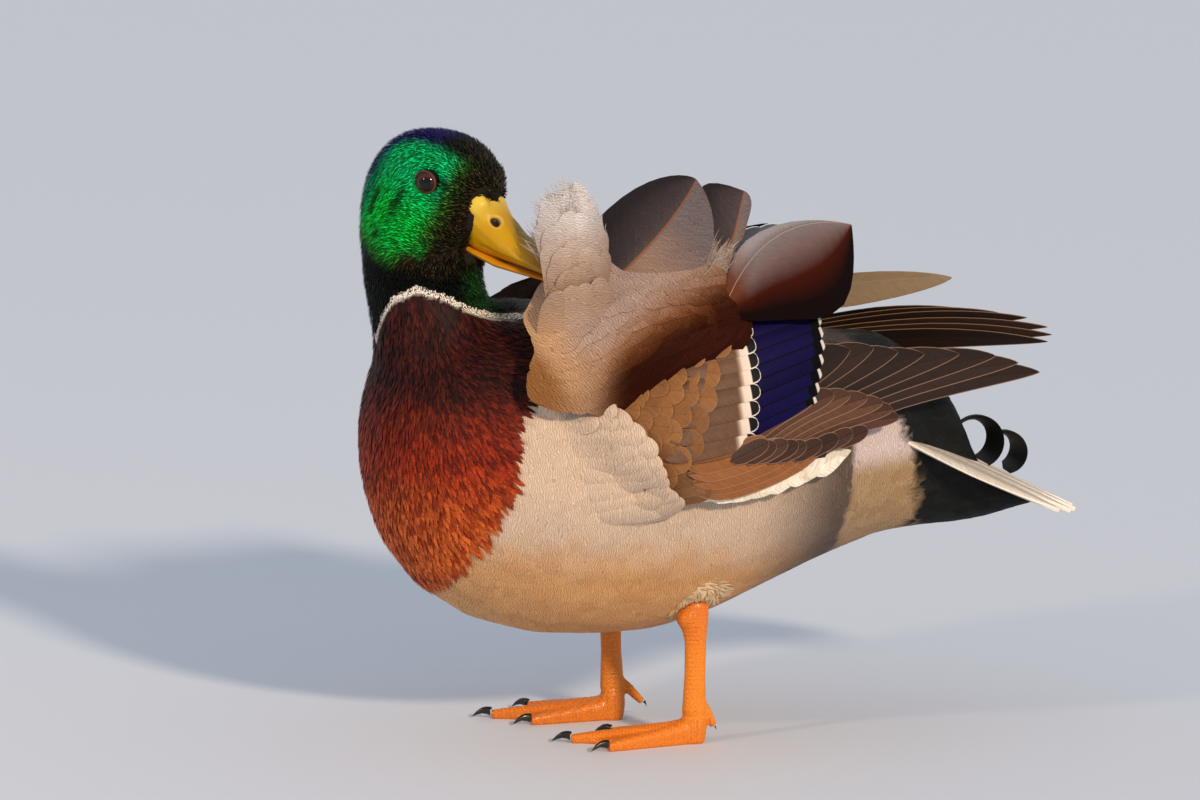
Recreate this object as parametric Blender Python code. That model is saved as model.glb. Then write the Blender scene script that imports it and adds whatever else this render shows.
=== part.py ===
"""A mallard drake, life size, standing and preening: the head is turned back over the left shoulder and the bill
is pushed under the raised scapulars of the left side.

Sizes are in millimetres until make_object() scales them to metres. +X runs to the tail, -Y is the bird's left
side and +Z is up. The soles lie on Z = 0 of the finished bird.
"""

import math

import bmesh
import bpy
import numpy as np
from mathutils import Matrix, Vector

MM = 0.001
GAP = 0.7  # left between two pieces that touch, measured at the corners of the cutter
FLOOR = 1.4  # the numbers below put the floor at this height
CENTRE = Vector((0.5, 0.0, FLOOR))  # middle of the whole bird's box, on the floor, which becomes the origin
SMOOTH_ANGLE = math.radians(50)

# Trunk stations from the breast to the vent: x, height of the middle, half width, rise above it, drop below it.
TRUNK = (
    (-171.5, 140, 1, 1, 1),
    (-169.0, 140, 20, 24, 24),
    (-161.0, 139, 40, 44, 45),
    (-146.0, 136, 57, 60, 61),
    (-121.0, 132, 69, 72, 73),
    (-92.0, 129, 74.5, 77, 78.5),
    (-62.0, 127, 76, 77, 78.5),
    (-36.0, 126, 75, 75, 76.5),
    (-10.0, 126, 72, 71, 69.5),
    (16.0, 127, 67, 66, 59.5),
    (48.0, 130, 57, 57, 50),
    (75.0, 135, 38.5, 51, 46.5),
    (91.0, 133, 28, 43, 43),
    (104.0, 129, 22.5, 35, 38.5),
    (114.0, 122, 20, 26, 31),
    (121.0, 115, 18, 14, 23),
    (127.0, 111, 15.5, 7, 18.5),
    (142.0, 106, 11, 4.5, 9.5),
    (157.0, 101, 4, 2, 2.5),
)

# Level sections of the neck: height, forward place of the middle, half width, reach forward, reach back.
NECK_LEAN = Vector((0.0, -4.0, 250.0))
NECK_BASE = (
    (150.0, 117, 52, 42, 47),
    (170.0, 124, 46, 42, 42),
    (187.0, 130, 38.5, 36.5, 34),
)
NECK = (
    (187.5, 130, 38.5, 36.5, 34),
    (196.0, 135, 33, 32, 30.5),
    (205.0, 139, 29.5, 28.5, 27.5),
    (214.0, 142, 27.5, 27.5, 27),
    (224.5, 143.5, 26.5, 27, 27),
)
# Level sections of the nape and cheeks, turned with the head: height, place of the middle, half width, reach back
# and reach towards the bill. The middle drifts sideways as it rises.
NAPE_FOOT, NAPE_DRIFT = Vector((-143.5, -3.6, 225.0)), Vector((0.11, 0.274, 1.0))
NAPE = (
    (0.0, 0, 26.5, 27, 27),
    (13.0, 0, 26.5, 30, 27),
    (27.0, 0, 24, 30.5, 24),
    (39.0, 0, 22, 28, 20),
    (48.0, 0, 18, 23.5, 15),
    (55.5, 0, 10, 13, 8),
)

# The head's frame has its origin between the eyes, x towards the bill and z towards the crown.
HEAD_ORIGIN = Vector((-128.7, -5.0, 266.3))
HEAD_TURN = math.radians(-49.0)  # heading of the bill, from +X towards the bird's left
HEAD_DIP = math.radians(21.0)
HEAD = (
    (-36.5, -6, 1, 1, 1),
    (-35.0, -6, 8, 6.5, 8),
    (-30.5, -6, 14.5, 12.5, 15),
    (-22.5, -5.5, 20.5, 17.5, 22),
    (-11.0, -5, 24, 21.5, 27),
    (2.0, -6, 24, 24, 27),
    (12.0, -8, 20.5, 24, 24),
    (18.0, -9, 16, 20.5, 19.5),
    (22.5, -10, 11.5, 14.5, 14),
    (27.5, -8, 4, 6, 4),
)
EYE_RADIUS = 5.7
EYE = Vector((0.0, 19.6, 0.0))
BILL_UPPER = (
    (14.0, -10, 10.5, 8.5, 10),
    (21.0, -10.5, 12.9, 11.0, 13),
    (26.0, -12.5, 12.2, 10.3, 11.8),
    (33.0, -15, 11.0, 9.4, 9.8),
    (42.0, -17.5, 10.5, 7.9, 7.3),
    (52.0, -18, 11.2, 5.6, 4.8),
    (62.0, -17.6, 12.1, 3.6, 3.1),
    (70.0, -17.4, 11.6, 2.5, 2.4),
    (75.5, -17.8, 8.4, 2, 2),
    (78.0, -18.2, 4, 1.3, 1.3),
)
BILL_LOWER = (
    (13.0, -24.5, 8.5, 2, 2.6),
    (24.0, -26.4, 9.4, 2.4, 3.2),
    (40.0, -26.4, 9.2, 2.2, 2.6),
    (54.0, -23.8, 9.8, 2, 2),
    (67.0, -21.4, 9.4, 1.6, 1.6),
    (73.0, -20.6, 5, 1, 1),
)

# Feather tracts of the left side. Rows run from the roots to the tips, and each row holds the lower edge, the
# crown and the upper edge. The number is the thickness of the tract where it is fullest.
WING_TRACTS = {
    "coverts": (
        12.0,
        (
            ((-84, -76, 152), (-84, -79, 160), (-80, -76, 168)),
            ((-63, -82, 134), (-64, -86, 157), (-58, -80, 184)),
            ((-40, -82, 127), (-41, -89, 157), (-35, -82, 194)),
            ((-14, -82, 143), (-15, -88, 169), (-14, -80, 203)),
        ),
    ),
    "secondaries": (
        9.0,
        (
            ((-16, -80, 146), (-16, -86, 172), (-15, -79, 202)),
            ((-4, -79, 157), (-5, -84, 183), (-4, -77, 206)),
            ((12, -75, 163), (11, -80, 187), (11, -73, 209)),
            ((29, -70, 170), (28, -73, 191), (27, -67, 209)),
        ),
    ),
    "primaries": (
        4.0,
        (
            ((0, -76, 140), (3, -78, 156), (8, -72, 186)),
            ((40, -66, 143), (42, -67, 163), (43, -60, 190)),
            ((70, -56, 149), (69, -57, 167), (72, -50, 186)),
            ((101, -46, 156), (103, -47, 166), (105, -42, 178)),
            ((125, -38, 161), (126, -39, 165), (128, -36, 170)),
            ((145, -33, 162), (145, -33.5, 163), (145, -33, 164)),
        ),
    ),
    "alula": (
        7.0,
        (
            ((-54, -79, 123), (-55, -82, 128), (-53, -81, 135)),
            ((-34, -82, 123), (-35, -86, 134), (-32, -85, 146)),
            ((-4, -79, 126), (-5, -84, 139), (-5, -83, 153)),
            ((22, -74, 132), (22, -77, 142), (24, -76, 157)),
            ((40, -68, 139), (44, -69, 147), (58, -64, 157)),
        ),
    ),
    "tertials": (
        3.5,
        (
            ((-14, -78, 207), (-16, -78, 217), (-17, -60, 228)),
            ((2, -77, 205), (-3, -75, 220), (-8, -52, 236)),
            ((20, -71, 207), (15, -69, 226), (14, -47, 240)),
            ((38, -61, 217), (40, -58, 230), (40, -43, 241)),
            ((46, -54, 229), (50, -51, 235), (52, -45, 239)),
        ),
    ),
}
SCAPULARS = (
    15.0,
    (
        ((-112, -72, 158), (-118, -74, 186), (-116, -62, 206)),
        ((-88, -80, 163), (-95, -86, 195), (-104, -66, 217)),
        ((-63, -86, 179), (-68, -91, 204), (-78, -68, 222)),
        ((-35, -88, 191), (-40, -89, 210), (-48, -66, 227)),
        ((-13, -86, 195), (-13, -84, 208), (-12, -62, 225)),
    ),
)
RAISED = {
    "scapular_tuft_left": (
        7.0,
        (
            ((-117, -68, 200), (-100, -84, 205), (-81, -76, 203)),
            ((-109, -66, 226), (-95, -80, 230), (-75, -70, 223)),
            ((-105, -62, 247), (-92, -74, 250), (-73, -64, 241)),
            ((-102, -58, 260), (-91, -68, 263), (-77, -60, 252)),
            ((-96, -57, 267), (-91, -61, 268), (-84, -57, 264)),
        ),
    ),
    "scapular_plume_left": (
        4.0,
        (
            ((-74, -66, 212), (-55, -78, 214), (-33, -70, 215)),
            ((-73, -58, 227), (-55, -74, 227), (-24, -62, 226)),
            ((-70, -50, 243), (-52, -67, 245), (-21, -57, 242)),
            ((-52, -46, 256), (-41, -58, 257), (-21, -52, 255)),
            ((-36, -44, 265), (-30, -49, 266), (-23, -47, 262)),
        ),
    ),
    "scapular_plume_rear_left": (
        2.5,
        (
            ((-33, -52, 222), (-26, -58, 224), (-14, -50, 224)),
            ((-27, -46, 238), (-21, -52, 240), (-9, -45, 240)),
            ((-22, -42, 255), (-14, -45, 257), (-2, -39, 257)),
        ),
    ),
}
# Above shoulder height the wings and scapulars lean in over the back, and so rearwards and down a little.
LEAN_FROM, LEAN = 160.0, np.array((0.055, 0.2, -0.033))
TUFT_LEAN = 0.5
# The right wing is folded a little higher and further back than the left one, which the bird has let drop, and
# its scapulars and tertials lie flat on the back.
RIGHT_WING_SHIFT = Vector((16.0, 0.0, 12.0))
RIGHT_SCAPULARS = (
    ((-114, -62, 158), (-112, -66, 182), (-106, -40, 203)),
    ((-86, -76, 156), (-88, -80, 190), (-84, -46, 211)),
    ((-58, -82, 162), (-60, -82, 196), (-56, -46, 214)),
    ((-28, -83, 170), (-28, -80, 200), (-24, -42, 213)),
    ((6, -78, 178), (8, -72, 200), (10, -36, 209)),
    ((34, -66, 184), (36, -60, 198), (36, -32, 204)),
)
RIGHT_TERTIALS = (
    ((20, -70, 178), (20, -66, 194), (20, -44, 206)),
    ((52, -60, 184), (52, -56, 198), (52, -37, 208)),
    ((84, -47, 193), (84, -44, 203), (84, -29, 210)),
    ((108, -36, 201), (108, -35, 205), (108, -27, 209)),
    ((118, -31, 204), (119, -31, 205), (119, -28, 206)),
)

TAIL_ROOT, TAIL_LENGTH, TAIL_SLOPE = Vector((76.0, 0.0, 137.5)), 103.0, math.radians(22.0)
TAIL_SPREAD, TAIL_FEATHERS = math.radians(1.5), 7
# Curled coverts: middle of the ring, radius, and where it starts and ends in degrees up from +X.
TAIL_CURLS = {
    "tail_curl_front": (Vector((122.0, -3.0, 131.5)), 10.4, -66, 148),
    "tail_curl_rear": (Vector((137.5, 3.0, 125.0)), 8.2, -84, 128),
}

# Legs: heel joint, foot of the tarsus, heading of the middle toe from -X towards the bird's right, how far the
# hind toe reaches back, and how far the feathers come down the leg from the hip.
LEGS = {
    "left": (Vector((-22.5, -37.0, 61.5)), Vector((-22.5, -33.0, 10.0)), math.radians(15.0), 9.5, 33.0),
    "right": (Vector((-42.5, 37.0, 61.5)), Vector((-42.5, 33.0, 10.0)), math.radians(17.0), 14.5, 46.0),
}
TOES = {"inner": (41.0, math.radians(23.0)), "middle": (56.5, 0.0), "outer": (45.0, math.radians(-28.0))}
CLAW_LENGTH = 9.5


def material(name, colour, roughness, metallic=0.0):
    made = bpy.data.materials.new(name)
    made.use_nodes = True
    shader = made.node_tree.nodes["Principled BSDF"]
    shader.inputs["Base Color"].default_value = (*colour, 1.0)
    shader.inputs["Roughness"].default_value = roughness
    shader.inputs["Metallic"].default_value = metallic
    return made


def make_object(name, bm, finish):
    """An object from a bmesh in millimetres, its mesh in metres about the origin."""
    bmesh.ops.recalc_face_normals(bm, faces=bm.faces)
    bm.transform(Matrix.Scale(MM, 4) @ Matrix.Translation(-CENTRE))
    mesh = bpy.data.meshes.new(name)
    bm.to_mesh(mesh)
    bm.free()
    mesh.materials.append(finish)
    mesh.shade_smooth()
    mesh.set_sharp_from_angle(angle=SMOOTH_ANGLE)
    made = bpy.data.objects.new(name, mesh)
    bpy.context.scene.collection.objects.link(made)
    return made


def curve_through(points, count):
    """count points evenly spaced in parameter on a Catmull-Rom curve through the rows of points."""
    rows = np.asarray(points, float)
    padded = np.concatenate([2 * rows[:1] - rows[1:2], rows, 2 * rows[-1:] - rows[-2:-1]])
    found = []
    for where in np.linspace(0, len(rows) - 1, count):
        i = min(int(where), len(rows) - 2)
        t = where - i
        a, b, c, d = padded[i : i + 4]
        found.append(b + 0.5 * t * (c - a + t * (2 * a - 5 * b + 4 * c - d + t * (3 * (b - c) + d - a))))
    return np.array(found)


def loft(bm, stations, frame, sides=20, per_station=2, keel=2.0, back=2.0):
    """A closed body through stations of (x, middle height, half width, rise, drop), in frame's axes.

    The underside is elliptical for a keel of 2 and more of a V below that, and a back above 2 is fuller.
    """
    count = (len(stations) - 1) * per_station + 1
    rings = []
    for x, middle, half_width, rise, drop in curve_through(stations, count):
        ring = bmesh.ops.create_circle(bm, segments=sides, radius=1.0)["verts"]
        for vert in ring:
            power = 2 / (keel if vert.co.y < 0 else back)
            across, up = (math.copysign(abs(v) ** power, v) for v in vert.co.xy)
            height = middle + up * max(rise if up > 0 else drop, 0.4)
            vert.co = frame @ Vector((x, across * max(half_width, 0.4), height))
        rings.append(ring)
    strung(bm, rings)


def frame_between(start, end, left=Vector((0, 1, 0))):
    """Axes at start with x towards end and y as near to left as it can be."""
    x = (end - start).normalized()
    z = x.cross(left).normalized()
    y = z.cross(x)
    return Matrix.Translation(start) @ Matrix((x, y, z)).transposed().to_4x4()


def head_frame():
    turn = Matrix.Rotation(HEAD_TURN, 4, "Z")
    dip = Matrix.Rotation(HEAD_DIP, 4, "Y")
    return Matrix.Translation(HEAD_ORIGIN) @ turn @ dip


def nape_frame():
    back = Vector((-math.cos(HEAD_TURN), -math.sin(HEAD_TURN), 0.0))
    side = Vector((0, 0, 1)).cross(back) * -1
    return Matrix.Translation(NAPE_FOOT) @ Matrix((NAPE_DRIFT, side, back)).transposed().to_4x4()


def body(name, stations, frame, finish, sides=20, per_station=2, keel=2.0, back=2.0):
    bm = bmesh.new()
    loft(bm, stations, frame, sides, per_station, keel, back)
    return make_object(name, bm, finish)


def tract(name, thickness, rows, finish, shift=Vector(), mirrored=False, lean=1.0, along=7, across=5):
    """A tract of feathers: a shell bent over its rows, thick in the middle and thin at its edges."""
    spread = [curve_through([row[k] for row in rows], along + 1) for k in range(3)]
    side = -1.0 if mirrored else 1.0
    outer = np.empty((along + 1, across + 1, 3))
    for j, t in enumerate(np.linspace(0, 1, across + 1)):
        low, crown, high = (1 - t) * (1 - 2 * t), 4 * t * (1 - t), t * (2 * t - 1)
        outer[:, j] = low * spread[0] + crown * spread[1] + high * spread[2]
    outer += np.maximum(outer[:, :, 2:] - LEAN_FROM, 0) * LEAN * lean
    outer = (outer + np.array(shift)) * np.array([1, side, 1])
    normal = np.cross(np.gradient(outer, axis=0), np.gradient(outer, axis=1))
    normal /= np.linalg.norm(normal, axis=2, keepdims=True)
    normal *= np.where(normal[:, :, 1:2].mean() * side > 0, -1, 1)
    s = np.linspace(0, 1, along + 1)[:, None, None]
    t = np.linspace(0, 1, across + 1)[None, :, None]
    full = np.clip(4 * np.sqrt(t * (1 - t)) * np.minimum(1, 3 * (1.02 - s)) / 2, 0, 1)
    inner = outer - normal * (0.7 + (thickness - 0.7) * full)
    bm = bmesh.new()
    rims = []
    for sheet in (outer, inner):
        grid = bmesh.ops.create_grid(bm, x_segments=along, y_segments=across, size=0.5)["verts"]
        for vert in grid:
            i, j = round((vert.co.x + 0.5) * along), round((vert.co.y + 0.5) * across)
            vert.co = Vector(sheet[i, j])
        rims.append({e for v in grid for e in v.link_edges if e.is_boundary})
    bmesh.ops.bridge_loops(bm, edges=list(rims[0] | rims[1]))
    return make_object(name, bm, finish)


def tail_feathers(finish):
    """Pointed tail feathers fanned from one root and roofed down at the sides."""
    made = []
    middle = (TAIL_FEATHERS - 1) / 2
    for i in range(TAIL_FEATHERS):
        share = (i - middle) / middle
        length = TAIL_LENGTH * (1 - 0.16 * share**2)
        yaw = Matrix.Rotation(TAIL_SPREAD * share, 4, "Z")
        dip = Matrix.Rotation(TAIL_SLOPE, 4, "Y")
        roll = Matrix.Rotation(math.radians(-16.0) * share, 4, "X")
        root = TAIL_ROOT + Vector((0.0, 29.0 * share, -3.0 * share**2))
        stations = (
            (0.0, 0, 6.5, 2.4, 2.4),
            (0.45 * length, 0, 8.4, 1.7, 1.7),
            (0.75 * length, 0, 7.2, 1.2, 1.2),
            (0.93 * length, 0, 3.8, 0.8, 0.8),
            (length, 0, 0.8, 0.4, 0.4),
        )
        frame = Matrix.Translation(root) @ yaw @ dip @ roll
        made.append(body(f"tail_{i}", stations, frame, finish, sides=6, per_station=1))
    return made


def strung(bm, rings):
    """Joins rings of vertices into one closed body."""
    loops = [list({e for v in ring for e in v.link_edges}) for ring in rings]
    for near, far in zip(loops, loops[1:]):
        bmesh.ops.bridge_loops(bm, edges=near + far)
    for ring in (rings[0], rings[-1]):
        bmesh.ops.contextual_create(bm, geom=ring)


def tail_curl(name, centre, radius, start, end, finish, sides=8, steps=13):
    """A tail covert that curls up and forward like a ring, open at its tip, its vane turned a little outwards."""
    bm = bmesh.new()
    rings = []
    for share in np.linspace(0, 1, steps):
        turn = math.radians(start + (end - start) * share)
        radial = Vector((math.cos(turn), 0, math.sin(turn)))
        across = (Vector((0, 1, 0)) * 0.86 - radial * 0.5).normalized()
        thin = (radial * 0.86 + Vector((0, 1, 0)) * 0.5).normalized()
        half = 4.8 * math.sin(math.pi * (0.30 + 0.68 * share)) + 0.5
        ring = bmesh.ops.create_circle(bm, segments=sides, radius=1.0)["verts"]
        for vert in ring:
            vert.co = centre + radial * radius + across * vert.co.x * half + thin * vert.co.y * (1.3 - 0.7 * share)
        rings.append(ring)
    strung(bm, rings)
    return make_object(name, bm, finish)


def applied(obj):
    """Replaces obj's mesh with its evaluated one and clears the modifiers."""
    graph = bpy.context.evaluated_depsgraph_get()
    mesh = bpy.data.meshes.new_from_object(obj.evaluated_get(graph))
    obj.modifiers.clear()
    old, obj.data = obj.data, mesh
    bpy.data.meshes.remove(old)


def keep_largest(obj):
    """Drops the crumbs that a cut leaves beside the main body."""
    bm = bmesh.new()
    bm.from_mesh(obj.data)
    left, islands = set(bm.faces), []
    while left:
        stack = [left.pop()]
        island = set(stack)
        while stack:
            for edge in stack.pop().edges:
                for face in edge.link_faces if edge.is_manifold else ():
                    if face in left:
                        left.discard(face)
                        island.add(face)
                        stack.append(face)
        islands.append(island)
    largest = max(islands, key=lambda island: sum(face.calc_area() for face in island))
    bmesh.ops.delete(bm, geom=[f for f in bm.faces if f not in largest], context="FACES")
    bm.to_mesh(obj.data)
    bm.free()


def boolean(obj, other, operation):
    modifier = obj.modifiers.new(operation.lower(), "BOOLEAN")
    modifier.operation = operation
    modifier.object = other
    modifier.solver = "MANIFOLD"
    applied(obj)


def moulds(*objects):
    """Copies of the objects grown by the gap all over, to cut their neighbours with."""
    made = []
    for obj in objects:
        copy = obj.copy()
        copy.data = obj.data.copy()
        copy.name = "mould"
        bpy.context.scene.collection.objects.link(copy)
        bm = bmesh.new()
        bm.from_mesh(copy.data)
        bm.normal_update()
        for vert in bm.verts:
            vert.co += vert.normal * GAP * MM
        bm.to_mesh(copy.data)
        bm.free()
        made.append(copy)
    return made


def keep_clear(obj, *cutters):
    """Cuts obj back so that it meets each neighbour face to face, a small gap away."""
    for cutter in cutters:
        boolean(obj, cutter, "DIFFERENCE")
    keep_largest(obj)


def merged(name, pieces):
    """One body from pieces that overlap."""
    first, *rest = pieces
    for other in rest:
        boolean(first, other, "UNION")
        bpy.data.objects.remove(other)
    first.name = name
    return first


def cut_at_floor(obj):
    """Gives obj a flat sole on the floor."""
    bm = bmesh.new()
    place = Matrix.Translation((0, 0, FLOOR - 25)) @ Matrix.Diagonal((400, 300, 50, 1))
    bmesh.ops.create_cube(bm, size=1.0, matrix=place)
    floor = make_object("floor_cutter", bm, obj.data.materials[0])
    boolean(obj, floor, "DIFFERENCE")
    bpy.data.objects.remove(floor)


def claw(name, base, heading, finish, length=CLAW_LENGTH, point=FLOOR + 1.0):
    """A curved claw that tapers from its base to a blunt point."""
    bm = bmesh.new()
    rings = []
    side = Vector((0, 0, 1)).cross(heading).normalized()
    for share in np.linspace(0, 1, 5):
        radius = 2.1 * (1 - share) ** 0.7 + 0.35
        centre = base + heading * length * share
        centre.z = base.z + (point - base.z) * share**1.7 + 1.3 * math.sin(math.pi * share)
        ring = bmesh.ops.create_circle(bm, segments=6, radius=1.0)["verts"]
        for vert in ring:
            vert.co = centre + side * vert.co.x * radius * 0.75 + Vector((0, 0, 1)) * vert.co.y * radius
        rings.append(ring)
    strung(bm, rings)
    return make_object(name, bm, finish)


def web(name, ankle, tips, finish):
    """The skin between the toes, scalloped back between their tips and thicker towards the ankle."""
    corners = [ankle + Vector((4, 0, 0))]
    for near, far in zip(tips, tips[1:]):
        corners += [near, near.lerp(far, 0.5).lerp(ankle, 0.16)]
    corners.append(tips[-1])
    bm = bmesh.new()
    hub = bm.verts.new((ankle.x, ankle.y, FLOOR - 1))
    rim = [bm.verts.new((c.x, c.y, FLOOR - 1)) for c in corners]
    floor = [bm.faces.new((hub, a, b)) for a, b in zip(rim, rim[1:] + rim[:1])]
    skin = bmesh.ops.extrude_face_region(bm, geom=floor)["geom"]
    for vert in (g for g in skin if isinstance(g, bmesh.types.BMVert)):
        reach = (vert.co.xy - ankle.xy).length
        vert.co.z = FLOOR + 1.6 + 7.0 * max(0.0, 1 - reach / 48)
    return make_object(name, bm, finish)


def toe(name, ankle, heading, length, finish):
    start, end = ankle - heading * 3.0, ankle + heading * length
    start.z, end.z = FLOOR + 7.0, FLOOR + 2.6
    stations = (
        (0.0, 0, 4.0, 6.0, 9.0),
        (0.3 * length, 0, 3.4, 4.0, 8.0),
        (0.62 * length, 0, 2.9, 2.9, 6.0),
        (0.85 * length, 0, 2.4, 2.4, 5.0),
        (length + 3.0, 0, 1.6, 1.7, 4.0),
    )
    level = frame_between(start, end, Vector((0, -1, 0)))
    return body(name, stations, level, finish, sides=8, per_station=1)


def leg(side, flesh, skin, horn, trunk_mould):
    """The feathered shank, the tarsus, the webbed foot, the hind toe and their claws."""
    heel, ankle, turn, hind_reach, cuff = LEGS[side]
    outward = 1.0 if side == "right" else -1.0
    hip = heel + Vector((3.0, 1.0 * outward, 40.0))
    shank_stations = (
        (0.0, 0, 10, 12, 12),
        (0.25 * cuff, 0, 13, 15, 15),
        (0.6 * cuff, 0, 12.5, 14, 14),
        (0.82 * cuff, 0, 10, 11, 11.5),
        (cuff, 0, 6, 6.8, 7.4),
    )
    shank = body(f"shank_{side}", shank_stations, frame_between(hip, heel), flesh, sides=12, per_station=1)
    tarsus_stations = (
        (-9.0, 0, 4.0, 5.2, 5.2),
        (-1.0, 0, 4.8, 5.8, 7.0),
        (4.0, 0, 4.8, 5.4, 7.0),
        (13.0, 0, 3.5, 5.0, 5.2),
        (28.0, 0, 3.3, 4.9, 5.0),
        (38.0, 0, 3.8, 5.4, 5.4),
        (45.4, 0, 4.4, 5.8, 5.8),
    )
    tarsus = body(f"tarsus_{side}", tarsus_stations, frame_between(heel, ankle), skin, sides=12, per_station=1)
    shank_mould = moulds(shank)
    tarsus_mould = moulds(tarsus)
    keep_clear(tarsus, *shank_mould, *trunk_mould)
    pieces, tips = [], []
    for name, (length, splay) in TOES.items():
        angle = math.pi - (turn - splay * outward)
        heading = Vector((math.cos(angle), math.sin(angle), 0.0))
        piece = toe(f"toe_{name}", ankle, heading, length, skin)
        base = ankle + heading * (length - 0.5)
        base.z = FLOOR + 3.2
        keep_clear(claw(f"claw_{name}_{side}", base, heading, horn), *moulds(piece))
        pieces.append(piece)
        tips.append(ankle + heading * (length - 4.0))
    knuckle_stations = (
        (0.0, 0, 4.4, 5.6, 5.6),
        (6.0, 0, 5.2, 6.2, 6.0),
        (12.0, 0, 5.0, 5.4, 6.0),
        (15.0, 0, 4.0, 4.0, 5.0),
    )
    top = ankle + Vector((0.0, 0.0, 5.0))
    knuckle = body("knuckle", knuckle_stations, frame_between(top, ankle), skin, sides=10, per_station=1)
    root = ankle + Vector((4.5, 0.0, 9.0))
    tip = Vector((ankle.x + hind_reach, ankle.y, FLOOR + 7.5))
    hind_stations = ((-2.0, 0, 2.0, 2.2, 2.2), (5.0, 0, 2.2, 2.4, 2.4), ((tip - root).length, 0, 1.5, 1.7, 1.7))
    hind = body(f"hind_toe_{side}", hind_stations, frame_between(root, tip), skin, sides=8, per_station=1)
    hind_mould = moulds(hind)
    keep_clear(hind, *moulds(knuckle), *tarsus_mould)
    back = (tip - root).normalized()
    hind_claw = claw(f"claw_hind_{side}", tip - back, back, horn, length=4.5, point=FLOOR + 4.5)
    keep_clear(hind_claw, *hind_mould)
    foot = merged(f"foot_{side}", [*pieces, knuckle, web("web", ankle, tips, skin)])
    cut_at_floor(foot)
    return shank_mould


def main():
    for obj in list(bpy.data.objects):
        bpy.data.objects.remove(obj)
    green = material("head_green", (0.01, 0.16, 0.06), 0.4)
    chestnut = material("breast_chestnut", (0.13, 0.03, 0.015), 0.6)
    grey = material("flank_grey", (0.55, 0.48, 0.42), 0.7)
    brown = material("wing_brown", (0.2, 0.12, 0.08), 0.6)
    blue = material("speculum_blue", (0.03, 0.02, 0.16), 0.4)
    white = material("tail_white", (0.75, 0.7, 0.64), 0.7)
    black = material("curl_black", (0.01, 0.015, 0.012), 0.4)
    yellow = material("bill_yellow", (0.75, 0.5, 0.02), 0.35)
    orange = material("foot_orange", (0.85, 0.2, 0.01), 0.4)
    horn = material("claw_horn", (0.05, 0.03, 0.025), 0.35)
    glossy = material("eye_brown", (0.03, 0.012, 0.006), 0.05)

    upright = frame_between(Vector(), NECK_LEAN)
    barrel = body("barrel", TRUNK, Matrix(), grey, sides=26, per_station=1, keel=1.75, back=2.4)
    neck_base = body("neck_base", NECK_BASE, upright, grey, sides=20, per_station=1)
    skull = body("skull", HEAD, head_frame(), green, sides=20, per_station=1)
    nape = body("nape", NAPE, nape_frame(), green, sides=20, per_station=1)
    neck = body("neck", NECK, upright, chestnut, sides=20, per_station=1)
    eyes = []
    for side, sign in (("right", -1), ("left", 1)):
        bm = bmesh.new()
        place = head_frame() @ Matrix.Translation((EYE.x, EYE.y * sign, EYE.z))
        bmesh.ops.create_icosphere(bm, subdivisions=2, radius=EYE_RADIUS, matrix=place)
        eyes.append(make_object(f"eye_{side}", bm, glossy))
    bill_upper = body("bill_upper", BILL_UPPER, head_frame(), yellow, sides=16, per_station=1)
    bill_lower = body("bill_lower", BILL_LOWER, head_frame(), yellow, sides=12, per_station=1)
    trunk_mould = moulds(barrel, neck_base)
    head_mould = moulds(skull)
    bill_mould = moulds(bill_upper, bill_lower)
    keep_clear(bill_lower, bill_mould[0])
    for side in ("left", "right"):
        keep_clear(barrel, *leg(side, grey, orange, horn, trunk_mould))
    merged("trunk", [barrel, neck_base])
    head = merged("head", [skull, nape])
    keep_clear(head, *moulds(*eyes), *bill_mould)
    keep_clear(neck, *trunk_mould, *head_mould, bill_mould[1])

    feathers = tail_feathers(white)
    tail_mould = moulds(*feathers)
    tail = merged("tail", feathers)
    keep_clear(tail, *trunk_mould)
    curls = [tail_curl(name, *shape, black) for name, shape in TAIL_CURLS.items()]
    keep_clear(curls[1], *moulds(curls[0]))
    for curl in curls:
        keep_clear(curl, *trunk_mould, *tail_mould)

    order = (("tertials", brown), ("coverts", brown), ("alula", brown), ("secondaries", blue), ("primaries", brown))
    for side, mirror in (("left", False), ("right", True)):
        thickness, rows = SCAPULARS
        rows = RIGHT_SCAPULARS if mirror else rows
        scapulars = tract(f"scapulars_{side}", thickness, rows, grey, mirrored=mirror)
        placed = moulds(scapulars)
        keep_clear(scapulars, *trunk_mould)
        for name, finish in order:
            thickness, rows = WING_TRACTS[name]
            shift = RIGHT_WING_SHIFT if mirror else Vector()
            if mirror and name == "tertials":
                rows, shift = RIGHT_TERTIALS, Vector()
            piece = tract(f"wing_{name}_{side}", thickness, rows, finish, shift, mirror)
            mould = moulds(piece)
            keep_clear(piece, *trunk_mould, *placed)
            placed += mould
        for name, (thickness, rows) in RAISED.items() if side == "left" else ():
            plume = tract(name, thickness, rows, grey, lean=TUFT_LEAN if "tuft" in name else 1.0)
            mould = moulds(plume)
            keep_clear(plume, *trunk_mould, *bill_mould, *placed)
            placed += mould
    for obj in list(bpy.data.objects):
        if obj.name.startswith("mould"):
            bpy.data.objects.remove(obj)


main()
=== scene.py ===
"""A mallard drake at life size, standing with its head turned over the left shoulder.

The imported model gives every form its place. One skin covers the flesh, and the feathers lie on it as
solid vanes. Lengths here are millimetres in the maker's drawing, whose origin is ORIGIN in the frame.
"""

import math

import bmesh
import bpy
import numpy as np
from mathutils import Matrix, Vector, noise
from mathutils.bvhtree import BVHTree


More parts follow.
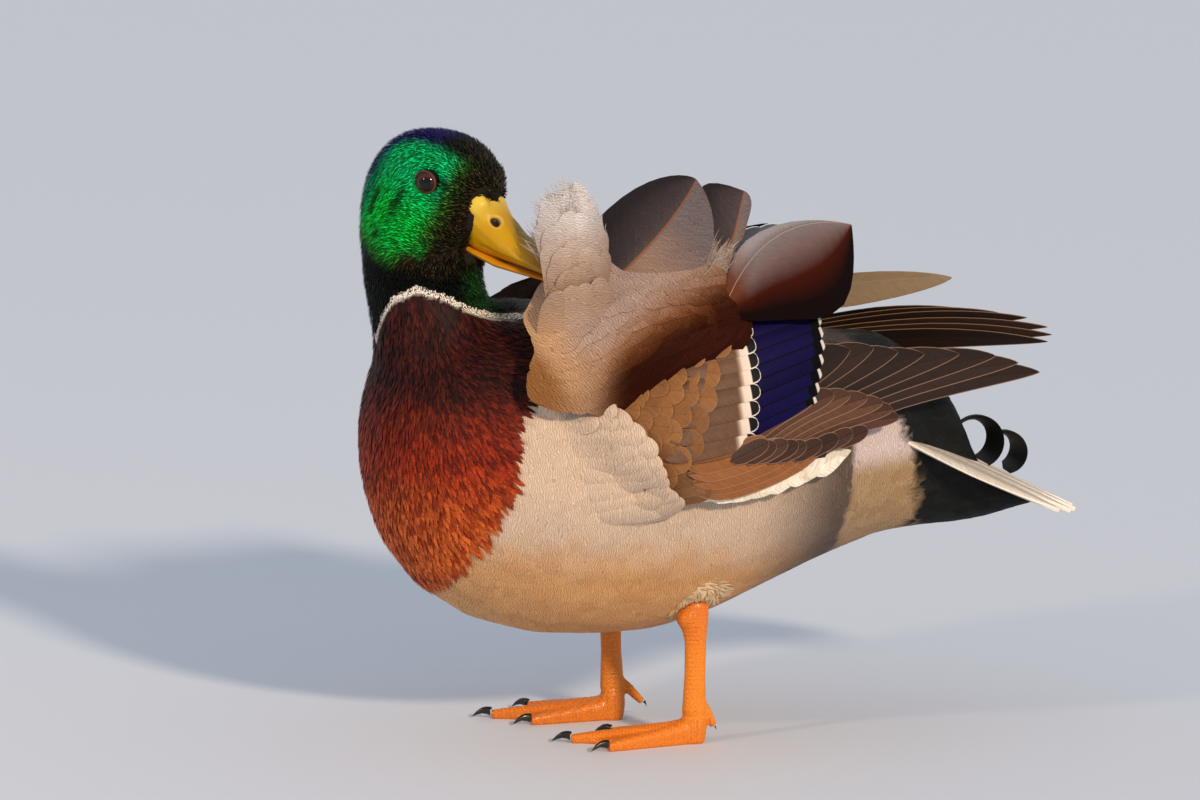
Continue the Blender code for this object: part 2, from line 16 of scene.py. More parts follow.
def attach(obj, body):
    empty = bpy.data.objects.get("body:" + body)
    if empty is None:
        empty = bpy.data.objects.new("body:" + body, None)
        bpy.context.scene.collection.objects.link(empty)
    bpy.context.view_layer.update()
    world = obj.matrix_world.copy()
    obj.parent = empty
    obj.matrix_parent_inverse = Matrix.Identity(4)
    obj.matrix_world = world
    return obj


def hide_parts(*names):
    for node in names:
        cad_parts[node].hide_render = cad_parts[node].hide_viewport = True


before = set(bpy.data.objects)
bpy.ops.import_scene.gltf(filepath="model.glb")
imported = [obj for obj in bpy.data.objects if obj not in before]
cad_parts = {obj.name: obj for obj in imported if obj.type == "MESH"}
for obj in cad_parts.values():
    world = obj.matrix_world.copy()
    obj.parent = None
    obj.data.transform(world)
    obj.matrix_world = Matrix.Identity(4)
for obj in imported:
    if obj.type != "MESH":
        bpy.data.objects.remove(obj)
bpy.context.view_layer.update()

# ---------------------------------------------------------------- measures

MM = 0.001
ORIGIN = np.array((0.5, 0.0, 1.4))
BODY = "root"
LEFT, RIGHT = -1, 1
SIDES = {LEFT: "left", RIGHT: "right"}
DOWN, BACK = np.array((0.0, 0.0, -1.0)), np.array((1.0, 0.0, 0.0))

HEAD_ORIGIN = np.array((-128.7, -5.0, 266.3))
HEAD_TURN, HEAD_DIP = math.radians(-49), math.radians(21)
NECK_AXIS = np.array((-143.0, -2.0))
EYE_RADIUS, EYE_OUT, EYE_DROP = 5.7, 19.6, -1.9
GAZE = math.radians(22)
LID_RADIUS, LID_THICK, LID_CLEAR = 5.1, 0.6, 5.3
NOSTRIL = np.array((33.0, -8.4))

# Each leg's heel, its ankle, the way its toes turn out and the height where its feathers start.
LEGS = {LEFT: ((-22.5, -37.0, 61.5), (-22.5, -33.0, 10.0), math.radians(15), 84.0),
        RIGHT: ((-42.5, 37.0, 61.5), (-42.5, 33.0, 10.0), math.radians(17), 68.0)}

FLESH = ("trunk", "neck", "head", "shank_left", "shank_right")
FACE = ("bill_upper", "bill_lower")
SKIN_VOXEL, SKIN_GROW, SKIN_SMOOTHING = 1.6, 0.6, 40
COAT_DEPTH_HEAD, COAT_DEPTH_BODY = 0.4, 1.4
COAT_CAMBER = 0.12
PATCH = 0.003

# A feather's outline: where it starts to narrow, how its tip is rounded, and how soon its root widens.
FINE = dict(shoulder=0.3, square=1.6, fall=0.8)
LEAF = dict(shoulder=0.5)
POINTED = dict(shoulder=0.5, square=1.7, fall=0.7, root=0.15)
BLUNT = dict(shoulder=0.7, square=2.2, fall=0.5, root=0.2)
ROUNDED = dict(shoulder=0.62, square=2.2, fall=0.5, root=0.2)
SQUARED = dict(shoulder=0.86, square=3.0, fall=0.5, root=0.2)
SILKY = dict(shoulder=0.4, square=1.6, fall=0.8, root=0.3)

RIGHT_WING_SHIFT = np.array((16.0, 0.0, 12.0))
UNSHIFTED = np.zeros(3)
# The small coverts' rows: feather length, half width, count and the line of their tips in x and z.
COVERT_ROWS = ((18, 7.0, 7, ((-21, 193), (-29, 171), (-36, 151), (-46, 137))),
               (17, 6.6, 6, ((-31, 190), (-39, 169), (-48, 146))),
               (15, 6.0, 6, ((-40, 187), (-47, 170), (-54, 151))),
               (15, 5.2, 5, ((-48, 184), (-56, 168), (-60, 156))),
               (9, 4.6, 4, ((-57, 179), (-63, 166))))
# The shoulder feathers' lower and upper limits in x and z.
SCAPULAR_LOW = {LEFT: ((-111, 184), (-104, 177), (-94, 165), (-82, 165), (-70, 174), (-54, 185),
                       (-37, 192), (-20, 197), (-10, 199)),
                RIGHT: ((-114, 160), (-96, 158), (-78, 158), (-60, 162), (-42, 166), (-22, 171),
                        (0, 177), (20, 182), (36, 185))}
SCAPULAR_HIGH = {LEFT: ((-105, 202), (-98, 214), (-91, 220), (-79, 223), (-64, 226), (-48, 228),
                        (-34, 228), (-20, 226), (-10, 224)),
                 RIGHT: ((-104, 188), (-96, 195), (-84, 199), (-70, 204), (-56, 208), (-38, 211),
                         (-14, 211), (12, 208), (36, 203))}
SCAPULAR_LEVELS = (0.1, 0.28, 0.46, 0.64, 0.82, 0.96)
# The raised tuft's rows: height of the roots and tips, how far they stand out, and the rise of the tips.
TUFT_ROWS = ((224, 265, -0.6, 1.0), (214, 255, -1.6, 2.4), (204, 243, -5.0, 6.0), (196, 232, -7.0, 8.5))
# The flank feathers that lap over the wing: how far each row starts forward, and its rise.
LAP_ROWS = ((0.0, 13.0), (7.0, 11.0), (14.0, 8.5))
LAP_ROOTS = np.array([(-94, 166), (-84, 152), (-80, 138), (-76, 126), (-70, 116)], float)
LAP_TIPS = np.array([(-74, 169), (-60, 153), (-53, 139), (-51, 129), (-42, 122)], float)

TAIL_ROOT = np.array((71.0, 0.0, 145.0))
TAIL_LENGTH, TAIL_REACH, TAIL_FEATHERS = 112.0, 9.6, 7
TAIL_SLOPE, TAIL_SPREAD, TAIL_ROLL = math.radians(26), math.radians(1.2), math.radians(14)
# Each curl's centre, its radius, and the angles between which it turns.
TAIL_CURLS = {"tail_curl_front": ((122.0, -3.0, 131.5), 10.6, -96, 152),
              "tail_curl_rear": ((137.5, 3.0, 125.0), 8.6, -84, 128)}

CAMERA_TURN, CAMERA_RISE = math.radians(16), math.radians(9)
CAMERA_TARGET = Vector((-58.4, 0.0, 156.2)) * MM
CAMERA_AWAY, CAMERA_SEES, CAMERA_SENSOR = 4.5, 0.552, 36.0
SUN_COLOUR, SKY_COLOUR = "#ffe6c8", "#dfe8f4"
SUN_STRENGTH, CATCH_WATTS, SKY_STRENGTH = 2.7, 9.0, 0.62
SUN_TURN, SUN_HEIGHT = math.radians(12), math.radians(24)
CATCH_TURN, CATCH_HEIGHT = math.radians(-64), math.radians(26)
LAMP_AIM = Vector((-0.13, 0.0, 0.24))
FLOOR_SIZE = 14.0

# Fine wavy lines: their colour, spacing and strength, and the way they cross in x and z.
FLANK_LINES = dict(barbs=0.06, lines=("#a08468", 1.05, 0.42, (1.0, 0.1)))
FLANK_GREY = ("#c9b29c", "#cfb9a4")

# ---------------------------------------------------------------- small tools


def ramp(value, low, high):
    """0 below low, 1 above high, and a smooth rise between. It falls where high is below low."""
    share = np.clip((np.asarray(value, float) - low) / (high - low), 0.0, 1.0)
    return share * share * (3 - 2 * share)


def bell(value, middle, width):
    return np.exp(-((value - middle) / width) ** 2)


def size_of(vectors):
    return np.linalg.norm(vectors, axis=-1)


def unit(vectors):
    return vectors / np.maximum(size_of(vectors)[..., None], 1e-9)


def linear(hex_colour):
    """An sRGB hex colour as linear red, green and blue."""
    parts = np.array([int(hex_colour[i:i + 2], 16) for i in (1, 3, 5)]) / 255
    return np.where(parts <= 0.04045, parts / 12.92, ((parts + 0.055) / 1.055) ** 2.4)


def rgba(hex_colour):
    return (*linear(hex_colour), 1.0)


def mixed(first, second, share):
    """Colours between first and second, by a share for each point. Either may be an sRGB hex colour."""
    first, second = (linear(c) if isinstance(c, str) else c for c in (first, second))
    share = np.asarray(share, float)[..., None]
    return first * (1 - share) + second * share


def drawn(points):
    """Frame metres as drawing millimetres."""
    return points / MM + ORIGIN


def placed(points):
    """Drawing millimetres as frame metres."""
    return (points - ORIGIN) * MM


# The head's own axes: to the bill tip, to the bird's left, and up.
HEAD_AXES = np.array(Matrix.Rotation(HEAD_TURN, 3, "Z") @ Matrix.Rotation(HEAD_DIP, 3, "Y")).T


def in_head(points):
    return (points - HEAD_ORIGIN) @ HEAD_AXES.T


def from_head(points):
    return np.asarray(points, float) @ HEAD_AXES + HEAD_ORIGIN


def along_list(points, share):
    """Points at these shares along a list of points."""
    points = np.asarray(points, float)
    at = np.linspace(0, 1, len(points))
    return np.column_stack([np.interp(share, at, column) for column in points.T])


# ---------------------------------------------------------------- materials


def add(tree, kind, settings=None, **links):
    """One node with its settings. A link's name is an input, or in_ and its number."""
    made = tree.nodes.new(kind)
    for key, value in (settings or {}).items():
        setattr(made, key, value)
    for key, value in links.items():
        socket = made.inputs[int(key[3:])] if key.startswith("in_") else made.inputs[key.replace("_", " ")]
        if isinstance(value, bpy.types.NodeSocket):
            tree.links.new(value, socket)
        else:
            socket.default_value = value
    return made


def maths(tree, operation, first, second=0.0, third=0.0):
    made = add(tree, "ShaderNodeMath", {"operation": operation}, in_0=first, in_1=second, in_2=third)
    return made.outputs[0]


def blended(tree, first, second, share, kind="MIX"):
    settings = {"data_type": "RGBA", "blend_type": kind}
    return add(tree, "ShaderNodeMix", settings, in_0=share, in_6=first, in_7=second).outputs[2]


def spread(tree, value, low, high, to_low=0.0, to_high=1.0):
    made = add(tree, "ShaderNodeMapRange", {"interpolation_type": "SMOOTHSTEP"}, Value=value,
               From_Min=low, From_Max=high, To_Min=to_low, To_Max=to_high)
    return made.outputs[0]


def attribute(tree, name):
    return add(tree, "ShaderNodeAttribute", {"attribute_name": name}).outputs


def object_place(tree):
    return add(tree, "ShaderNodeTexCoord").outputs["Object"]


def rough_noise(tree, place, scale, detail, roughness=0.5):
    made = add(tree, "ShaderNodeTexNoise", Vector=place, Scale=scale, Detail=detail, Roughness=roughness)
    return made.outputs["Fac"]


def colour_stops(tree, share, stops):
    """Colours along a share from 0 to 1. Each stop is a place, an sRGB hex colour and its cover."""
    made = add(tree, "ShaderNodeValToRGB", in_0=share)
    elements = made.color_ramp.elements
    while len(elements) < len(stops):
        elements.new(1.0)
    for element, (place, hex_colour, cover) in zip(list(elements), stops):
        element.position = place
        element.color = (*linear(hex_colour), cover)
    return made.outputs["Color"], made.outputs["Alpha"]


def shader(name, roughness, metallic=0.0, specular=0.5, coat=0.0, colour=None):
    """A material with a Principled shader. Returns it, its tree and the shader's inputs."""
    made = bpy.data.materials.new(name)
    made.use_nodes = True
    inputs = made.node_tree.nodes["Principled BSDF"].inputs
    for key, value in (("Roughness", roughness), ("Metallic", metallic), ("Specular IOR Level", specular),
                       ("Coat Weight", coat), ("Coat Roughness", 0.08)):
        inputs[key].default_value = value
    if colour:
        inputs["Base Color"].default_value = rgba(colour)
    return made, made.node_tree, inputs


def bumped(tree, inputs, height, strength, depth):
    """Bumps the shader's surface by a height, to a depth in millimetres."""
    bump = add(tree, "ShaderNodeBump", Strength=strength, Distance=depth * MM, Height=height)
    tree.links.new(bump.outputs[0], inputs["Normal"])


def wavy_ink(tree, wave_mm, heading):
    """Wavering lines across a heading in x and z, from 0 between them to 1 on them."""
    place = object_place(tree)
    warp = rough_noise(tree, place, 0.36 / wave_mm / MM, 1.5)
    run = add(tree, "ShaderNodeVectorMath", {"operation": "DOT_PRODUCT"}, in_0=place,
              in_1=(heading[0] / MM, 0.0, heading[1] / MM)).outputs["Value"]
    bent = maths(tree, "MULTIPLY_ADD", warp, 3.2 * wave_mm, run)
    wave = maths(tree, "SINE", maths(tree, "MULTIPLY", bent, 2 * math.pi / wave_mm))
    return spread(tree, wave, -0.5, 0.8)


def plumage(name, roughness=0.62, metallic=0.0, specular=0.18, barbs=0.25, barb_mm=0.9,
            lines=None, edge=None, edge_reach=None, shaft=None, bands=None, relief=0.12):
    """Keratin vanes. Their colour comes from the piece, and barbs, pale edges, a shaft and bars across the
    tip are drawn on each vane, whose map runs in millimetres back from its tip. Wavy lines cross the way
    they head in x and z, and flow on from vane to vane."""
    made, tree, inputs = shader(name, roughness, metallic, specular)
    vane = add(tree, "ShaderNodeUVMap", {"uv_map": "Vane"}).outputs[0]
    parts = add(tree, "ShaderNodeSeparateXYZ", in_0=vane).outputs
    across, along, aside = parts[0], parts[1], maths(tree, "ABSOLUTE", parts[0])
    own = attribute(tree, "Plumage")
    slant = maths(tree, "MULTIPLY_ADD", aside, 0.9, along)
    streak = add(tree, "ShaderNodeCombineXYZ", in_0=maths(tree, "MULTIPLY", across, 0.12), in_1=slant,
                 in_2=maths(tree, "MULTIPLY", own["Alpha"], 300.0))
    hairs = rough_noise(tree, streak.outputs[0], 1 / barb_mm, 2.0, 0.6)
    height = maths(tree, "MULTIPLY", hairs, barbs)
    shade = spread(tree, hairs, 0.3, 0.7, 1 - barbs, 1 + barbs)
    grey = add(tree, "ShaderNodeCombineColor", in_0=shade, in_1=shade, in_2=shade).outputs[0]
    colour = blended(tree, own["Color"], grey, 1.0, "MULTIPLY")
    if lines:
        dark, wave_mm, amount, heading = lines
        ink = wavy_ink(tree, wave_mm, heading)
        dimmed = blended(tree, colour, rgba(dark), 1.0, "MULTIPLY")
        colour = blended(tree, colour, dimmed, maths(tree, "MULTIPLY", ink, amount))
        height = maths(tree, "SUBTRACT", height, maths(tree, "MULTIPLY", ink, 0.6))
    if bands:
        reach = bands[-1][0]
        stops = [(place / reach, hex_colour, cover) for place, hex_colour, cover in bands]
        bars, cover = colour_stops(tree, maths(tree, "DIVIDE", along, reach), stops)
        colour = blended(tree, colour, bars, cover)
    if edge:
        hex_colour, width, cover = edge
        share = spread(tree, attribute(tree, "Rim")["Fac"], width, width * 0.45, 0.0, cover)
        if edge_reach:
            share = maths(tree, "MULTIPLY", share, spread(tree, along, edge_reach, edge_reach * 0.6))
        colour = blended(tree, colour, rgba(hex_colour), share)
    if shaft:
        hex_colour, width, cover = shaft
        share = spread(tree, aside, width, width * 0.5, 0.0, cover)
        colour = blended(tree, colour, rgba(hex_colour), share)
        height = maths(tree, "ADD", height, maths(tree, "MULTIPLY", share, 1.5))
    tree.links.new(colour, inputs["Base Color"])
    bumped(tree, inputs, height, 0.7, relief)
    return made


# ---------------------------------------------------------------- meshes


def read(items, key, kind=np.float32, width=3):
    values = np.empty(len(items) * width, kind)
    items.foreach_get(key, values)
    return values.reshape(-1, width)


def points_of(mesh):
    return read(mesh.vertices, "co").astype(float)


def normals_of(mesh):
    return read(mesh.vertices, "normal").astype(float)


def set_points(mesh, points):
    mesh.vertices.foreach_set("co", points.astype(np.float32).ravel())
    mesh.update()


def tint(mesh, colours, fourth=1.0):
    """Gives each point a linear colour, and a fourth value that varies a feather's pattern."""
    rows = np.column_stack([colours, np.broadcast_to(fourth, len(colours))])
    layer = mesh.color_attributes.new("Plumage", "FLOAT_COLOR", "POINT")
    layer.data.foreach_set("color", rows.astype(np.float32).ravel())


def mark_rim(mesh, values):
    layer = mesh.attributes.new("Rim", "FLOAT", "POINT")
    layer.data.foreach_set("value", values.astype(np.float32))


def linked(name, data):
    made = bpy.data.objects.new(name, data)
    bpy.context.scene.collection.objects.link(made)
    return made


def mesh_from(bm, name):
    mesh = bpy.data.meshes.new(name)
    bm.to_mesh(mesh)
    bm.free()
    return mesh


def finished(mesh, name, material, replaced=()):
    """Puts a smooth mesh on the body, with its material and the nodes it stands for."""
    mesh.materials.append(material)
    piece = linked(name, mesh)
    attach(piece, BODY)
    if replaced:
        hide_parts(*replaced)


def mesh_piece(name, points, faces, material, replaced=(), maps=None, colours=None, rim=None,
               crisp=None):
    """A piece on the body from arrays, in drawing millimetres, with the maps its material reads."""
    mesh = bpy.data.meshes.new(name)
    corners = np.asarray(faces, np.int32).ravel()
    mesh.vertices.add(len(points))
    mesh.vertices.foreach_set("co", placed(points).astype(np.float32).ravel())
    mesh.loops.add(len(corners))
    mesh.loops.foreach_set("vertex_index", corners)
    mesh.polygons.add(len(faces))
    mesh.polygons.foreach_set("loop_start", np.arange(0, len(corners), faces.shape[1], dtype=np.int32))
    mesh.update(calc_edges=True)
    mesh.validate()
    for key, values in (maps or {}).items():
        layer = mesh.uv_layers.new(name=key)
        layer.data.foreach_set("uv", values[corners].astype(np.float32).ravel())
    if colours is not None:
        tint(mesh, *colours)
    if rim is not None:
        mark_rim(mesh, rim)
    mesh.shade_smooth()
    if crisp:
        mesh.set_sharp_from_angle(angle=math.radians(crisp))
    finished(mesh, name, material, replaced)


def grown_copy(names, grow):
    """The nodes' solids in one mesh, each grown a little so that they meet."""
    whole = bmesh.new()
    for name in names:
        part = bmesh.new()
        part.from_mesh(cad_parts[name].data)
        bmesh.ops.remove_doubles(part, verts=part.verts, dist=0.02 * MM)
        part.normal_update()
        for vertex in part.verts:
            vertex.co += vertex.normal * grow * MM
        held = mesh_from(part, "held")
        whole.from_mesh(held)
        bpy.data.meshes.remove(held)
    return whole


def even_copy(nodes, name, voxel, smoothing, grow=0.0):
    """One closed even mesh over these nodes' solids, smoothed."""
    mesh = mesh_from(grown_copy(nodes, grow), name)
    helper = linked(name + "_helper", mesh)
    modifier = helper.modifiers.new("even", "REMESH")
    modifier.mode = "VOXEL"
    modifier.voxel_size = voxel * MM
    graph = bpy.context.evaluated_depsgraph_get()
    even = bpy.data.meshes.new_from_object(helper.evaluated_get(graph))
    bpy.data.objects.remove(helper)
    bpy.data.meshes.remove(mesh)
    even.name = name
    even.materials.clear()
    smooth(even, smoothing)
    even.shade_smooth()
    return even


def smooth(mesh, rounds):
    """Each point moves halfway to the middle of its neighbours, so many times."""
    one, other = read(mesh.edges, "vertices", np.int32, 2).T
    points = points_of(mesh)
    total = len(points)
    count = np.bincount(np.concatenate([one, other]), minlength=total)[:, None]
    for _ in range(rounds):
        near = np.stack([np.bincount(one, points[other, k], total)
                         + np.bincount(other, points[one, k], total) for k in range(3)], axis=1)
        points += 0.5 * (near / np.maximum(count, 1) - points)
    set_points(mesh, points)


# ---------------------------------------------------------------- the skin


def past_face(points):
    """How far points lie past the line where the feathers end on the bill, in mm towards its tip."""
    x, y, z = in_head(points).T
    line = np.interp(z, (-30, -26, -23, -20, -15, -7, 0, 2), (26, 24, 23, 24.5, 25.5, 24.5, 21, 20.5))
    brow = 5.5 * (1 - np.clip(np.abs(y) / 12.0, 0, 1)) * ramp(z, -9.0, -5.0)
    by_bill = (np.abs(y) < 16) & (z > -30) & (z < 9)
    return np.where(by_bill, x - line - brow, -9.0)


def coat_depth(points):
    """How far the skin lies inside the feathers' outline."""
    body = ramp(points[:, 2], 225.0, 185.0) * ramp(points[:, 2], 60.0, 85.0)
    return COAT_DEPTH_HEAD + (COAT_DEPTH_BODY - COAT_DEPTH_HEAD) * body


def skin_mesh():
    """One closed surface over all the flesh. Behind the bill's base it draws in to a hidden core."""
    mesh = even_copy(FLESH + FACE, "skin", SKIN_VOXEL, SKIN_SMOOTHING, SKIN_GROW)
    points, normals = drawn(points_of(mesh)), normals_of(mesh)
    past = past_face(points)
    near_bill = ramp(in_head(points)[:, 0], 9.0, 15.0) * (past > -8.9)
    inward = coat_depth(points) + SKIN_GROW - near_bill * 1.6 + 4.5 * ramp(past, -0.6, 1.2)
    points -= normals * inward[:, None]
    x, y, z = in_head(points).T
    sunk = ramp(past, 1.0, 5.0)
    core = np.column_stack([x - 0.12 * (x - 20) * sunk, y * 0.5, -19.5 + (z + 19.5) * 0.35])
    set_points(mesh, placed(from_head(mixed(in_head(points), core, sunk))))
    return mesh


def skin_piece(mesh):
    # Skin under the coat: dull, so that nothing shines between the feathers.
    material, tree, inputs = shader("skin_dull", 0.8, specular=0.2)
    tree.links.new(attribute(tree, "Plumage")["Color"], inputs["Base Color"])
    points = drawn(points_of(mesh))
    # The skin takes the markings at four fifths of their brightness: painted shade in the gaps between
    # feathers.
    tint(mesh, body_colour(points, normals_of(mesh), np.full(len(points), 0.35)) * 0.8)
    finished(mesh, "skin", material, FLESH)


class Surface:
    """The skin's faces for scattering roots, and its nearest points."""

    def __init__(self, mesh):
        mesh.calc_loop_triangles()
        self.faces = read(mesh.loop_triangles, "vertices", np.int32)
        self.points = drawn(points_of(mesh))
        self.normals = normals_of(mesh)
        first, second, third = self.points[self.faces].transpose(1, 0, 2)
        self.areas = size_of(np.cross(second - first, third - first)) / 2
        self.middles = self.points[self.faces].mean(1)
        self.tree = BVHTree.FromPolygons([Vector(p) for p in self.points], self.faces.tolist())

    def scatter(self, where, spacing, seed):
        """Roots on the faces that where(middles) keeps, no closer together than spacing."""
        chance = np.random.default_rng(seed)
        area = self.areas * where(self.middles)
        count = int(area.sum() / (spacing * spacing) * 4.5)
        chosen = self.faces[chance.choice(len(area), count, p=area / area.sum())]
        share = chance.random((count, 2))
        share = np.where(share.sum(1, keepdims=True) > 1, 1 - share, share)
        weight = np.column_stack([1 - share.sum(1), share])[..., None]
        spots = (self.points[chosen] * weight).sum(1)
        kept = thinned(spots, spacing)
        return spots[kept], unit((self.normals[chosen] * weight).sum(1))[kept]


def thinned(spots, spacing):
    """The spots that stay when each one too near an earlier one is dropped."""
    taken, kept = {}, []
    near = [(i, j, k) for i in (-1, 0, 1) for j in (-1, 0, 1) for k in (-1, 0, 1)]
    cells = np.floor(spots / spacing).astype(int).tolist()
    for index, ((a, b, c), (x, y, z)) in enumerate(zip(cells, spots.tolist())):
        around = (spot for i, j, k in near for spot in taken.get((a + i, b + j, c + k), ()))
        if all((px - x) ** 2 + (py - y) ** 2 + (pz - z) ** 2 >= spacing * spacing for px, py, pz in around):
            taken.setdefault((a, b, c), []).append((x, y, z))
            kept.append(index)
    return np.array(kept)


def on_leg(points):
    """1 on the feathered top of a leg and 0 on the body."""
    legs = [ramp(size_of(points[:, :2] - heel[:2]), 13.0, 9.5) * ramp(points[:, 2], top, top - 6)
            for heel, _, _, top in LEGS.values()]
    return np.maximum(*legs)


def lie(points, normals):
    """The way the feathers lie: back from the bill, down the neck, and along the body to the tail."""
    x, z = points[:, 0], points[:, 2]
    behind = ramp(in_head(points)[:, 0], 12.0, -24.0)[:, None]
    on_head = -HEAD_AXES[0] * (1.15 - behind) + DOWN * (0.15 + 1.1 * behind)
    share = ramp(x, -168.0, -70.0)[:, None]
    on_body = BACK * (0.35 + share) + DOWN * (1.15 * (1 - share) + 0.06)
    on_body = on_body + DOWN * 0.18 * ramp(x, 40.0, 100.0)[:, None]
    way = mixed(on_body, DOWN, on_leg(points))
    way = mixed(way, DOWN + BACK * 0.1, ramp(z, 186.0, 204.0) * ramp(x, -100.0, -112.0))
    way = mixed(way, on_head, ramp(z, 224.0, 240.0))
    return unit(way - normals * (way * normals).sum(-1, keepdims=True))


# ---------------------------------------------------------------- vanes


class Vane:
    """A closed pillow that a feather is drawn on: places across, stations along, and its faces."""

    def __init__(self, columns, stations):
        bm = bmesh.new()
        wide, long = len(columns) - 1, len(stations) - 1
        bmesh.ops.create_grid(bm, x_segments=wide, y_segments=long, size=1.0)
        for end in (-1.0, 1.0):
            row = [v for v in bm.verts if abs(v.co.y - end) < 1e-4]
            bmesh.ops.pointmerge(bm, verts=row, merge_co=(0.0, end, 0.0))
        for vertex in bm.verts:
            inner = abs(abs(vertex.co.x) - 1) > 1e-4 and abs(abs(vertex.co.y) - 1) > 1e-4
            vertex.co.z = 1.0 if inner else 0.0
        copied = bmesh.ops.duplicate(bm, geom=bm.verts[:] + bm.edges[:] + bm.faces[:])["geom"]
        for vertex in (g for g in copied if isinstance(g, bmesh.types.BMVert)):
            vertex.co.z *= -1
        bmesh.ops.reverse_faces(bm, faces=[g for g in copied if isinstance(g, bmesh.types.BMFace)])
        bmesh.ops.remove_doubles(bm, verts=bm.verts, dist=1e-4)
        bmesh.ops.triangulate(bm, faces=bm.faces)
        spots = np.array([v.co for v in bm.verts])
        self.faces = np.array([[v.index for v in f.verts] for f in bm.faces])
        bm.free()
        self.row = np.rint((spots[:, 1] + 1) / 2 * long).astype(int)
        column = np.rint((spots[:, 0] + 1) / 2 * wide).astype(int)
        ends = (self.row == 0) | (self.row == long)
        self.across = np.where(ends, 0.0, np.asarray(columns, float)[column])
        self.side = spots[:, 2]
        self.stations = np.asarray(stations, float)
        self.along = self.stations[self.row]


HEAD_VANE = Vane((-1, 0, 1), (0.0, 0.55, 1.0))
FINE_VANE = Vane((-1, 0, 1), (0.0, 0.35, 0.75, 1.0))
BODY_VANE = Vane((-1, -0.5, 0, 0.5, 1), (0.0, 0.25, 0.55, 0.85, 1.0))
COVERT_VANE = Vane((-1, -0.6, -0.05, 0.05, 0.6, 1), (0.0, 0.12, 0.3, 0.5, 0.7, 0.84, 0.93, 0.98, 1.0))
FLIGHT_VANE = Vane((-1, -0.8, -0.5, -0.2, -0.04, 0.04, 0.2, 0.5, 0.8, 1),
                   (0.0, 0.06, 0.14, 0.24, 0.35, 0.46, 0.57, 0.67, 0.76, 0.83, 0.89, 0.935, 0.97, 0.99, 1.0))
CURL_VANE = Vane((-1, -0.5, -0.05, 0.05, 0.5, 1), np.linspace(0, 1, 29) ** 0.9)


def outline(stations, shoulder=0.55, square=2.0, fall=0.5, root=0.18):
    """A feather's half width along it, as a share: widening from the root, rounded past the shoulder."""
    tip = np.clip((stations - shoulder) / (1 - shoulder), 0, 1)
    return np.clip(stations / root, 0, 1) ** 0.6 * (1 - tip ** square) ** fall


def vanes(vane, spine, left, right, normal, thickness, camber, length):
    """Points, faces and maps of many feathers on one template. left and right reach to the edges."""
    row, u = vane.row, vane.across
    left, right = left[:, row], right[:, row]
    edge = np.where((u < 0)[None, :, None], left, right)
    arch = camber * np.maximum(size_of(left), size_of(right)) * (1 - u * u)
    lift = arch + vane.side * np.reshape(thickness, (-1, 1))
    reach = edge * np.abs(u)[:, None]
    points = spine[:, row] + reach + normal[:, row] * lift[..., None]
    faces = vane.faces + (np.arange(len(spine)) * len(row))[:, None, None]
    from_tip = (1 - vane.along) * np.reshape(length, (-1, 1))
    rim = np.minimum(size_of(edge) - size_of(reach), from_tip)
    maps = np.stack([size_of(reach) * np.sign(u), from_tip], axis=-1)
    return points.reshape(-1, 3), faces.reshape(-1, 3), maps.reshape(-1, 2), rim.ravel()


def bake_map(vane, count, wide, high):
    """Each feather's own cell of a grid, wide by high, that fills the map."""
    cell = np.arange(count)[:, None]
    across = (cell % wide + 0.5 + 0.46 * vane.across) / wide
    along = (cell // wide + 0.04 + 0.92 * vane.along) / high
    return np.stack([across, along], axis=-1).reshape(-1, 2)


def follow(surface, roots, way, lengths, stations, rise, sink):
    """Spines that run over the skin from their roots, rising towards the tip, with side and normal."""
    spine, normals, ways = np.empty((3, len(roots), len(stations), 3))
    for i, (root, start) in enumerate(zip(roots, way)):
        spot, heading, previous = Vector(root), Vector(start), 0.0
        for k, station in enumerate(stations):
            step = lengths[i] * (station - previous)
            previous = station
            spot, normal, _, _ = surface.tree.find_nearest(spot + heading * step)
            heading = (heading - normal * heading.dot(normal)).normalized()
            spine[i, k], normals[i, k], ways[i, k] = spot, normal, heading
    height = rise[:, None] * stations - sink
    return spine + normals * height[..., None], unit(np.cross(ways, normals)), normals


def hugged(surface, points, heights):
    """The points brought down to the skin and set off it by heights."""
    laid = np.empty_like(points)
    for i, (point, height) in enumerate(zip(points.tolist(), heights.tolist())):
        spot, normal, _, _ = surface.tree.find_nearest(Vector(point))
        laid[i] = spot + normal * height
    return laid


def on_unwrap(points, upright):
    """Each root's place on a turned unwrap of the skin's shape, spread over the whole map."""
    x, y, z = points.T
    if upright:
        place = np.column_stack([np.arctan2(y - NECK_AXIS[1], x - NECK_AXIS[0]), z])
    else:
        place = np.column_stack([np.arctan2(y, z - 125.0), x])
    low, high = place.min(0), place.max(0)
    return 0.01 + 0.98 * (place - low) / np.maximum(high - low, 1e-6)


